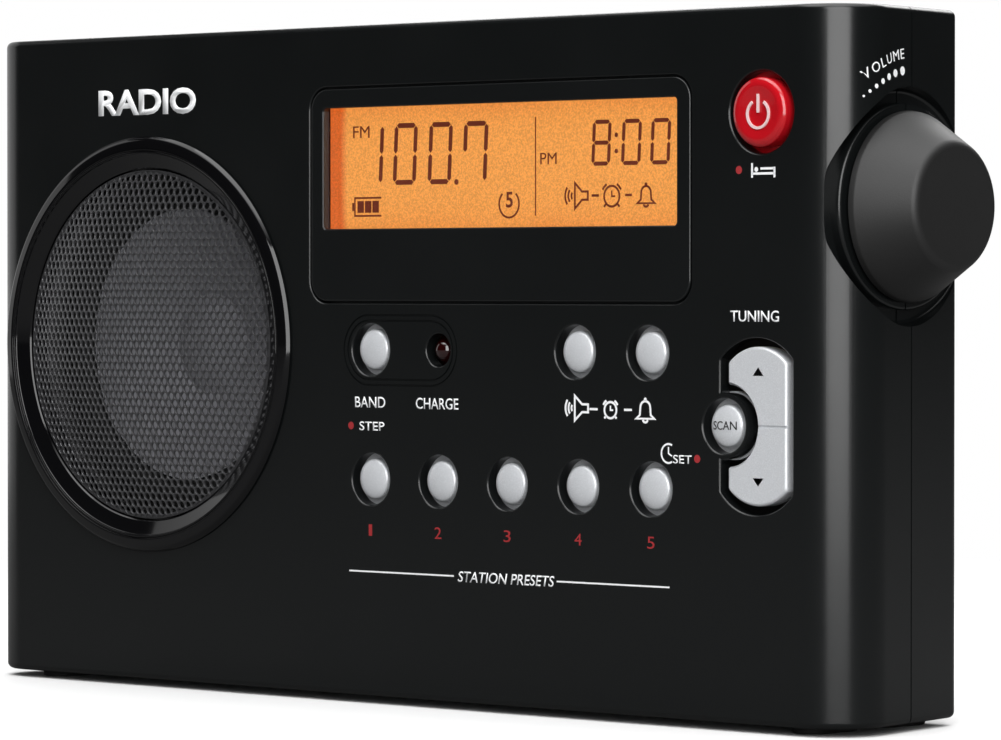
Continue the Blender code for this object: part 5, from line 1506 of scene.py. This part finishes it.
# ---- legends ----
@dataclass(frozen=True)
class Legends:
    """The printing on the front panel and the right side."""

    arc_radius: float = 0.0223  # radius of the base line of the word round the knob
    first: float = 123.5  # angle of its first letter, in degrees
    tall: float = 0.00150  # height of its letters
    space: float = 0.00052  # space between them
    dot_radius: float = 0.0205  # radius of the row of dots
    dots: int = 7  # their number

    def white_print(self) -> None:
        """Prints the white legends of the front panel."""
        sheet = Ink("white_legends", MM)
        for text, left, right, bottom, top, bold in (
                ("RADIO", -67.0, -43.0, 94.6, 99.0, 0.035), ("STEP", -4.7, 0.95, 42.75, 44.2, 0.008),
                ("BAND", -5.7, 1.15, 46.45, 48.2, 0.008), ("CHARGE", 8.0, 17.4, 46.4, 48.2, 0.008),
                ("TUNING", 74.2, 83.8, 60.6, 62.3, 0.008), ("SET", 62.7, 66.5, 39.0, 40.3, 0.008)):
            sheet.words(text, left, right, bottom, top, bold=bold)
        sheet.words("STATION PRESETS", 17.4, 38.0, 19.2, 20.9, bold=0.008, slant=0.2)
        for left, right, z, width in ((-7.0, 16.4, 20.1, 0.26), (38.6, 62.0, 20.1, 0.26),
                                      (45.5, 47.2, 47.0, 0.36), (52.7, 54.3, 47.0, 0.36)):
            sheet.line([(left, z), (right, z)], width)
        icons = Icons(sheet, 0.36)
        icons.speaker(39.4, 45.2, 45.2, 49.0)
        icons.clock(49.86, 46.9, 1.25)
        icons.bell(55.2, 58.9, 44.9, 48.9)
        icons.bed(78.5, 82.9, 82.2, 84.4)
        sheet.line(arc(61.8, 40.5, 1.45, 60, 300, 18), 0.3)
        sheet.line([(61.8, 41.5), (61.8, 40.5), (62.5, 40.1)], 0.26)
        sheet.press(on_panel, WHITE_INK)

    def red_print(self) -> None:
        """Prints the red figures and dots."""
        sheet = Ink("red_legends", MM)
        for i in range(5):
            x = centre_of(f"preset_button_{i + 1}").x / MM
            half = 0.38 if i == 0 else 0.75
            sheet.words(str(i + 1), x - half, x + half, 25.85, 27.7)
        for x, z in ((-6.6, 43.5), (67.6, 39.8), (75.9, 83.4)):
            sheet.disc(x, z, 0.62)
        sheet.press(on_panel, RED_INK)

    def side_print(self) -> None:
        """Prints the volume legend on its arc, with its row of growing dots."""
        sheet = Ink("volume_legend")

        def bend(along: float, out: float) -> Point:
            """Returns a point of the word wrapped round the knob's axis."""
            turn = radians(self.first) - along / (self.arc_radius + self.tall / 2 - 0.00005)
            reach = self.arc_radius + out
            return KNOB.y + reach * cos(turn), KNOB.z + reach * sin(turn)

        at = 0.0
        for letter, wide in zip("VOLUME", (0.00150, 0.00165, 0.00105, 0.00140, 0.00175, 0.00110)):
            sheet.words(letter, at, at + wide, 0.0, self.tall, bend=bend)
            at += wide + self.space
        sheet.press(on_side, WHITE_INK)
        dots = Recipe("volume_dots", {"Count": self.dots, "Arc": self.dot_radius,
                                      "First": radians(127.5), "Step": radians(3.4),
                                      "Widening": radians(0.25), "Smallest": 0.00018, "Growth": 0.00050})
        index = dots.step("GeometryNodeInputIndex")
        last = dots.sum("SUBTRACT", dots.size("Count"), 1.0)
        share = dots.sum("DIVIDE", index, last)
        wider = dots.sum("ADD", dots.size("Step"), dots.sum("MULTIPLY", index, dots.size("Widening")))
        turn = dots.sum("SUBTRACT", dots.size("First"), dots.sum("MULTIPLY", index, wider))
        y = dots.sum("ADD", dots.sum("MULTIPLY", dots.sum("COSINE", turn), dots.size("Arc")), KNOB.y)
        z = dots.sum("ADD", dots.sum("MULTIPLY", dots.sum("SINE", turn), dots.size("Arc")), KNOB.z)
        spread = dots.step("ShaderNodeCombineXYZ", {"X": y, "Y": z})
        points = dots.step("GeometryNodePoints", {"Count": dots.size("Count"), "Position": spread})
        radius_by = dots.sum("ADD", dots.size("Smallest"), dots.sum("MULTIPLY", share, dots.size("Growth")))
        disc = dots.step("GeometryNodeMeshCircle", {"Vertices": 24, "Radius": 1.0}, fill_type="NGON")
        placed = dots.step("GeometryNodeInstanceOnPoints",
                          {"Points": points, "Instance": disc, "Scale": radius_by})
        flat = dots.run(placed, WHITE_INK)
        print_of = Ink("volume_dot_print")
        print_of.shape.from_mesh(flat.data)
        drop(flat)
        print_of.press(on_side, WHITE_INK)

    def build(self) -> None:
        """Prints every legend."""
        self.white_print()
        self.red_print()
        self.side_print()


# ---- back and left side ----
@dataclass(frozen=True)
class Back:
    """The battery door, the cells, the screws and the jacks."""

    soft: float = 0.0004  # rounding of the door's edges and of its grip
    grip_half: float = 0.011  # half the finger grip's width
    grip_low: float = 0.0090  # from the door's top to the grip's lower edge
    grip_high: float = 0.0025  # from the door's top to the grip's upper edge
    grip_depth: float = 0.0006  # how deep the grip is sunk
    rib_start: float = 0.00815  # from the door's top to the lowest rib
    head: float = 0.0026  # radius of a screw's head
    head_tall: float = 0.0016  # height of a screw's head
    shank: float = 0.0012  # radius of its thread
    root: float = 0.78  # the thread's inner radius, as a share of that
    turns: int = 16  # steps of the thread
    cross: float = 0.0015  # half the length of the cross in its head
    cross_half: float = 0.0003  # half the width of that cross
    cell: float = 0.0071  # radius of a cell
    cell_end: float = 0.0064  # radius of its flat ends
    nub: float = 0.0027  # radius of a cell's positive end
    nub_tall: float = 0.0012  # height of that end
    audio_hole: float = 0.00185  # radius of an audio socket's hole
    inlet_hole: float = 0.0028  # radius of the power inlet's hole
    floor: float = 0.0010  # height of a socket's floor
    chamfer: float = 0.0004  # rounding at a socket's mouth
    inlet_pin: float = 0.0009  # radius of the pin in the power inlet

    def build_door(self) -> None:
        """Builds the door with soft edges and a ribbed finger grip sunk in its face."""
        low, high = corners("battery_door")
        door = block("bay_door", low, high, self.soft)
        grip = block("grip", (-self.grip_half, high.y - self.grip_depth, high.z - self.grip_low),
                     (self.grip_half, high.y + 0.01, high.z - self.grip_high), self.soft)
        combine(door, [grip])
        ribs = Recipe("grip_ribs", {"Count": 5, "Pitch": 0.0012, "Length": 0.019, "Thickness": 0.0006,
                                    "Height": 0.0009})
        size = ribs.step("ShaderNodeCombineXYZ", {"X": ribs.size("Length"), "Y": ribs.size("Height"),
                                                 "Z": ribs.size("Thickness")})
        bar = ribs.step("GeometryNodeMeshCube",
                       {"Size": size, "Vertices X": 2, "Vertices Y": 2, "Vertices Z": 2})
        index = ribs.step("GeometryNodeInputIndex")
        up = ribs.sum("MULTIPLY", index, ribs.size("Pitch"))
        start = ORIGIN + Vector((0, high.y - 0.00055, high.z - self.rib_start))
        place = ribs.step("ShaderNodeVectorMath", {0: ribs.step("ShaderNodeCombineXYZ", {"Z": up}),
                                                  1: start})
        row = ribs.step("GeometryNodePoints", {"Count": ribs.size("Count"), "Position": place})
        bars = ribs.step("GeometryNodeInstanceOnPoints", {"Points": row, "Instance": bar})
        combine(door, [ribs.run(bars, SATIN_BLACK)], "UNION")
        fit_out(polish(door, 40), SATIN_BLACK, "battery_door", ["battery_door"])

    def build_screw(self, node: str) -> None:
        """Turns a screw and cuts the cross in its head.

        Args:
            node: the CAD node that it stands for.
        """
        low, high = corners(node)
        middle, top, long = (low + high) / 2, high.y, high.y - low.y
        profile = [(0, 0), (self.head * 0.5, -0.00008), (self.head * 0.85, -0.0004), (self.head, -0.0009),
                   (self.head, -self.head_tall), (self.shank, -self.head_tall)]
        for i in range(1, self.turns):
            height = -self.head_tall - (long - 0.0026) * i / self.turns
            profile.append((self.shank * (1.0 if i % 2 else self.root), height))
        profile += [(self.shank * 0.4, -long + 0.0003), (0, -long)]
        screw = lathe(node + "_body", profile, Vector((middle.x, top, middle.z)), Facing.BACK, 40)
        cross = []
        for name, wide, tall, depth in (("slot_a", self.cross, self.cross_half, 0.0009),
                                        ("slot_b", self.cross_half, self.cross, 0.00091)):
            cross.append(block(name, (middle.x - wide, top - depth, middle.z - tall),
                               (middle.x + wide, top + 0.001, middle.z + tall)))
        fit_out(polish(combine(screw, cross), 35), PLATED_STEEL, "casing", [node])

    def build_cells(self) -> None:
        """Turns the four cells, each with its raised end."""
        for i in range(4):
            node = f"battery_cell_{i + 1}"
            low, high = corners(node)
            middle, long = (low + high) / 2, high.x - low.x
            shoulder = long - self.nub_tall
            path = [(0, long), (self.nub, long), (self.nub, shoulder), (self.cell_end, shoulder),
                    (self.cell, long - 0.0020), (self.cell, 0.0006), (self.cell_end, 0.0), (0, 0.0)]
            section = soften(path, [0, 0.0004, 0.0002, 0.0005, 0.0004, 0.0004, 0.0003, 0])
            cell = lathe(f"cell_{i + 1}", section, Vector((low.x, middle.y, middle.z)), Facing.RIGHT, 64)
            fit_out(polish(cell, 40), CELL_SLEEVE, "casing", [node])

    def build_jack(self, node: str, inlet: bool = False) -> None:
        """Turns a socket.

        Args:
            node: the CAD node that it stands for.
            inlet: True for the power inlet, which has a pin in its middle.
        """
        low, high = corners(node)
        middle, outer, long = (low + high) / 2, (high.z - low.z) / 2, high.x - low.x
        hole = self.inlet_hole if inlet else self.audio_hole
        path, radii = [(0, self.floor), (hole, self.floor)], [0, 0]
        if inlet:
            path[:1] = [(0, long - 0.0008), (0.0007, long - 0.0008), (self.inlet_pin, long - 0.0011),
                        (self.inlet_pin, self.floor)]
            radii = [0, 0, 0.0002, 0, 0]
        path += [(hole, long - self.chamfer), (hole + self.chamfer, long), (outer - 0.0003, long),
                 (outer, long - self.chamfer), (outer, 0), (0, 0)]
        radii += [0.0002, 0.0002, 0.0002, 0.0002, 0, 0]
        at = Vector((high.x, middle.y, middle.z))
        jack = lathe(node + "_body", soften(path, radii), at, Facing.LEFT, 64)
        fit_out(polish(jack, 40), GLOSS_BLACK, "casing", [node])

    def build(self) -> None:
        """Builds and dresses the back."""
        self.build_door()
        for row in ("low", "high"):
            for side in ("left", "right"):
                self.build_screw(f"case_screw_{row}_{side}")
        self.build_cells()
        self.build_jack("headphone_jack")
        self.build_jack("line_in_jack")
        self.build_jack("dc_jack", inlet=True)
        repaint(PLATED_STEEL, "battery_contact_left", "battery_contact_right")


# ---- aerial ----
@dataclass(frozen=True)
class Aerial:
    """The turret and the three telescoping sections."""

    radii: tuple[float, ...] = (0.0028, 0.0021, 0.0014)  # radius of each section
    base: float = 0.0973  # height of the turret's foot
    foot: float = 0.0036  # radius of that foot
    foot_tall: float = 0.0018  # its height
    spigot: float = 0.0020  # radius of the spigot below it
    cheek: float = 0.0028  # radius of a cheek's round top
    cheek_near: float = 0.0015  # from the axis to a cheek's inner face
    cheek_far: float = 0.0034  # from the axis to its outer face
    pin: float = 0.00115  # radius of the hole for the pin
    start: float = 0.0045  # from the pin to the start of the first section
    step: float = 0.0020  # how much later each next section starts
    rim: float = 0.00015  # rounding of a tube's ends
    tube_wall: float = 0.0005  # thickness of a tube
    tip: float = 0.0060  # length of the tip
    ball: float = 0.0026  # radius of the tip
    knuckle_half: float = 0.0012  # half the knuckle's thickness
    knuckle_tall: float = 0.00208  # half the knuckle's height

    def slab(self, name: str, outline: Sequence[Point], near: float, far: float) -> Object:
        """Returns an upright outline made solid between two depths."""
        return loft(name, [[Vector((x, y, z)) for x, z in outline] for y in (near, far)])

    def pin_hole(self, piece: Object) -> Object:
        """Bores the pin's hole through a piece."""
        hole = rod(piece.name + "_hole", self.pin, -0.01, 0.01, centre_of("aerial_pin"), Facing.BACK, 32)
        return combine(piece, [hole])

    def build_turret(self) -> None:
        """Builds the turret: a turned base with two round-topped cheeks."""
        low, high = corners("aerial_turret")
        pin, end = centre_of("aerial_pin"), low.z - self.base
        profile = [(0, self.foot_tall), (self.foot, self.foot_tall), (self.foot, 0), (self.spigot, 0),
                   (self.spigot, end), (0, end)]
        at = Vector((pin.x, pin.y, self.base))
        turret = lathe("turret_body", soften(profile, [0, 0.0004, 0.0001, 0, 0, 0]), at, Facing.UP, 64)
        cheeks = []
        crown = arc(pin.x, high.z - self.cheek, self.cheek, 0, 180, 20)
        bottom = self.base + 0.0012
        outline = [(pin.x + self.cheek, bottom), *crown, (pin.x - self.cheek, bottom)]
        for side in (-1, 1):
            near, far = sorted((pin.y + side * self.cheek_near, pin.y + side * self.cheek_far))
            cheeks.append(self.slab(f"cheek_{side}", outline, near, far))
        combine(turret, cheeks, "UNION")
        self.pin_hole(turret)
        fit_out(polish(turret, 35), GLOSS_BLACK, "aerial_turret", ["aerial_turret"])
        repaint(PLATED_STEEL, "aerial_pin", "aerial_ring")

    def section(self, radius: float, long: float, last: bool) -> list[Point]:
        """Gives a section's profile.

        Args:
            radius: its radius.
            long: its length, without the tip.
            last: True for the solid one with the tip.

        Returns:
            (radius, height) pairs.
        """
        rim, ball = self.rim, self.ball
        if last:
            tip = long + self.tip
            return [(0, tip), (ball * 0.55, tip - 0.0001), (ball * 0.88, tip - 0.0006), (ball, tip - 0.0015),
                    (ball, long + 0.0009), (ball * 0.8, long + 0.0003), (radius, long + 0.0003),
                    (radius, rim), (radius - rim, 0), (0, 0)]
        inner = radius - self.tube_wall
        return [(0, 0.0017), (inner, 0.0017), (inner, long - rim), (inner + rim, long), (radius - rim, long),
                (radius, long - rim), (radius, rim), (radius - rim, 0), (0, 0)]

    def build_sections(self) -> None:
        """Turns the sections, the first with its knuckle and the last with its tip."""
        middle, tall = centre_of("aerial_pin"), self.knuckle_tall
        for i, radius in enumerate(self.radii):
            node, last = f"aerial_section_{i + 1}", i == len(self.radii) - 1
            start = middle.x + self.start + self.step * i
            long = corners(node)[1].x - start - (self.tip if last else 0.0)
            at = Vector((start, middle.y, middle.z))
            tube = lathe(f"tube_{i + 1}", self.section(radius, long, last), at, Facing.RIGHT, 64)
            if i == 0:
                side = arc(middle.x, middle.z, tall, 90, 270, 16)
                outline = [(start + GAP, middle.z + tall), *side, (start + GAP, middle.z - tall)]
                knuckle = self.slab("knuckle", outline, middle.y - self.knuckle_half,
                                    middle.y + self.knuckle_half)
                combine(tube, [knuckle], "UNION")
                self.pin_hole(tube)
            fit_out(polish(tube, 35), CHROME, node, [node])

    def build(self) -> None:
        """Builds and dresses the aerial."""
        self.build_turret()
        self.build_sections()


class Internals:
    """What the casing hides, kept as packed and given its finishes."""

    def build(self) -> None:
        """Finishes the electronics."""
        repaint(RUBBER, "key_mat", "power_switch")
        repaint(BOARD_GREEN, "main_board")
        repaint(FERRITE, "ferrite_rod")
        repaint(COPPER_WIRE, "aerial_coil")


# ---- studio ----
@dataclass(frozen=True)
class SoftPanel:
    """A soft light panel that faces the radio."""

    name: str  # the light's name
    turn: float  # its direction from the radio, in degrees from the front towards the right
    rise: float  # its elevation, in degrees
    away: float  # its distance
    wide: float  # its width
    tall: float  # its height
    power: float  # its strength

    def build(self) -> None:
        """Hangs the panel."""
        light = bpy.data.lights.new(self.name, "AREA")
        light.shape = "RECTANGLE"
        light.size, light.size_y = self.wide, self.tall
        light.energy = self.power
        made = bpy.data.objects.new(self.name, light)
        turn, up = radians(self.turn), radians(self.rise)
        way = Vector((sin(turn) * cos(up), -cos(turn) * cos(up), sin(up)))
        made.location = way * self.away + Vector((0, 0, 0.05))
        made.rotation_euler = way.to_track_quat("Z", "Y").to_euler()
        made.visible_camera = False
        link(made)


@dataclass(frozen=True)
class Studio:
    """The floor, the lights, the world and the camera."""

    eye: tuple[float, float, float] = (0.58435, -0.61326, 0.06719)  # the camera's place
    heading: float = 43.447  # its heading, in degrees to the left of straight back
    pitch: float = 0.925  # how far it looks down, in degrees
    lens: float = 187.25  # its focal length, in millimetres
    sensor: float = 36.0  # its sensor's width, in millimetres
    # the lights
    panels: tuple[SoftPanel, ...] = (
        SoftPanel("key_strip", 50.0, 12.0, 0.9, 0.70, 1.1, 12.0),
        SoftPanel("back_light", -152.0, 38.0, 1.0, 1.0, 0.5, 6.0),
        SoftPanel("top_light", 20.0, 75.0, 0.9, 0.9, 0.6, 3.0),
        SoftPanel("left_fill", -92.0, 15.0, 1.0, 1.0, 0.8, 1.8))

    def floor(self) -> None:
        """Lays a pale floor."""
        shape = bmesh.new()
        bmesh.ops.create_grid(shape, x_segments=1, y_segments=1, size=4.0)
        mesh = bpy.data.meshes.new("studio_floor")
        shape.to_mesh(mesh)
        shape.free()
        made = bpy.data.objects.new("studio_floor", mesh)
        link(made)
        mesh.materials.append(self.floor_paint())

    def floor_paint(self) -> bpy.types.Material:
        """Returns the floor's paint: pale, white where it is seen far off, and dim in reflections."""
        made = bpy.data.materials.new("floor_paint")
        made.use_nodes = True
        tree = made.node_tree
        tree.nodes.clear()
        rays = wire(tree, "ShaderNodeLightPath").outputs["Is Camera Ray"]
        far = wire(tree, "ShaderNodeVectorMath", {0: wire(tree, "ShaderNodeTexCoord").outputs["Object"]},
                   operation="LENGTH").outputs["Value"]
        fade = wire(tree, "ShaderNodeMapRange", {"Value": far, "From Min": 0.10, "From Max": 0.45})
        seen = wire(tree, "ShaderNodeBsdfDiffuse", {"Color": (0.82, 0.82, 0.82, 1)})
        white = wire(tree, "ShaderNodeEmission", {"Color": (1, 1, 1, 1)})
        looks = wire(tree, "ShaderNodeMixShader", {0: fade.outputs["Result"], 1: seen.outputs[0],
                                                   2: white.outputs[0]})
        dim = wire(tree, "ShaderNodeBsdfDiffuse", {"Color": (0.12, 0.12, 0.12, 1)})
        both = wire(tree, "ShaderNodeMixShader", {0: rays, 1: dim.outputs[0], 2: looks.outputs[0]})
        wire(tree, "ShaderNodeOutputMaterial", {0: both.outputs[0]})
        return made

    def world(self) -> None:
        """Makes the surroundings: white to the camera, dim to reflections."""
        world = bpy.data.worlds.new("studio")
        bpy.context.scene.world = world
        world.use_nodes = True
        tree = world.node_tree
        tree.nodes.clear()
        rays = wire(tree, "ShaderNodeLightPath")
        way = wire(tree, "ShaderNodeSeparateXYZ", {0: wire(tree, "ShaderNodeTexCoord").outputs["Generated"]})
        sky = wire(tree, "ShaderNodeMapRange", {"Value": way.outputs["Z"], "From Min": 0.70, "From Max": 0.80,
                                                "To Min": 0.012, "To Max": 2.0})
        white = wire(tree, "ShaderNodeBackground", {"Color": (1, 1, 1, 1), "Strength": 1.0})
        dim = wire(tree, "ShaderNodeBackground", {"Color": (1, 1, 1, 1), "Strength": sky.outputs["Result"]})
        both = wire(tree, "ShaderNodeMixShader", {0: rays.outputs["Is Camera Ray"], 1: dim.outputs[0],
                                                  2: white.outputs[0]})
        wire(tree, "ShaderNodeOutputWorld", {0: both.outputs[0]})

    def camera(self) -> None:
        """Sets the camera."""
        data = bpy.data.cameras.new("camera")
        data.lens, data.sensor_width = self.lens, self.sensor
        made = bpy.data.objects.new("camera", data)
        made.location = self.eye
        turn, down = radians(self.heading), radians(self.pitch)
        way = Vector((-sin(turn) * cos(down), cos(turn) * cos(down), -sin(down)))
        made.rotation_euler = way.to_track_quat("-Z", "Y").to_euler()
        link(made)
        bpy.context.scene.camera = made

    def build(self) -> None:
        """Builds the studio."""
        bpy.context.scene.view_settings.view_transform = "Standard"
        self.floor()
        for panel in self.panels:
            panel.build()
        self.world()
        self.camera()


def main() -> None:
    """Builds every part of the radio and the studio."""
    logging.basicConfig(level=logging.INFO, format="%(name)s: %(message)s")
    builders = [Casing(), Speaker(), Display(), Keys(), VolumeKnob(), Legends(), Back(), Aerial(),
                Internals(), Studio()]
    for builder in builders:
        log.info("building %s", type(builder).__name__)
        builder.build()
    bpy.context.view_layer.update()


if __name__ == "__main__":
    main()
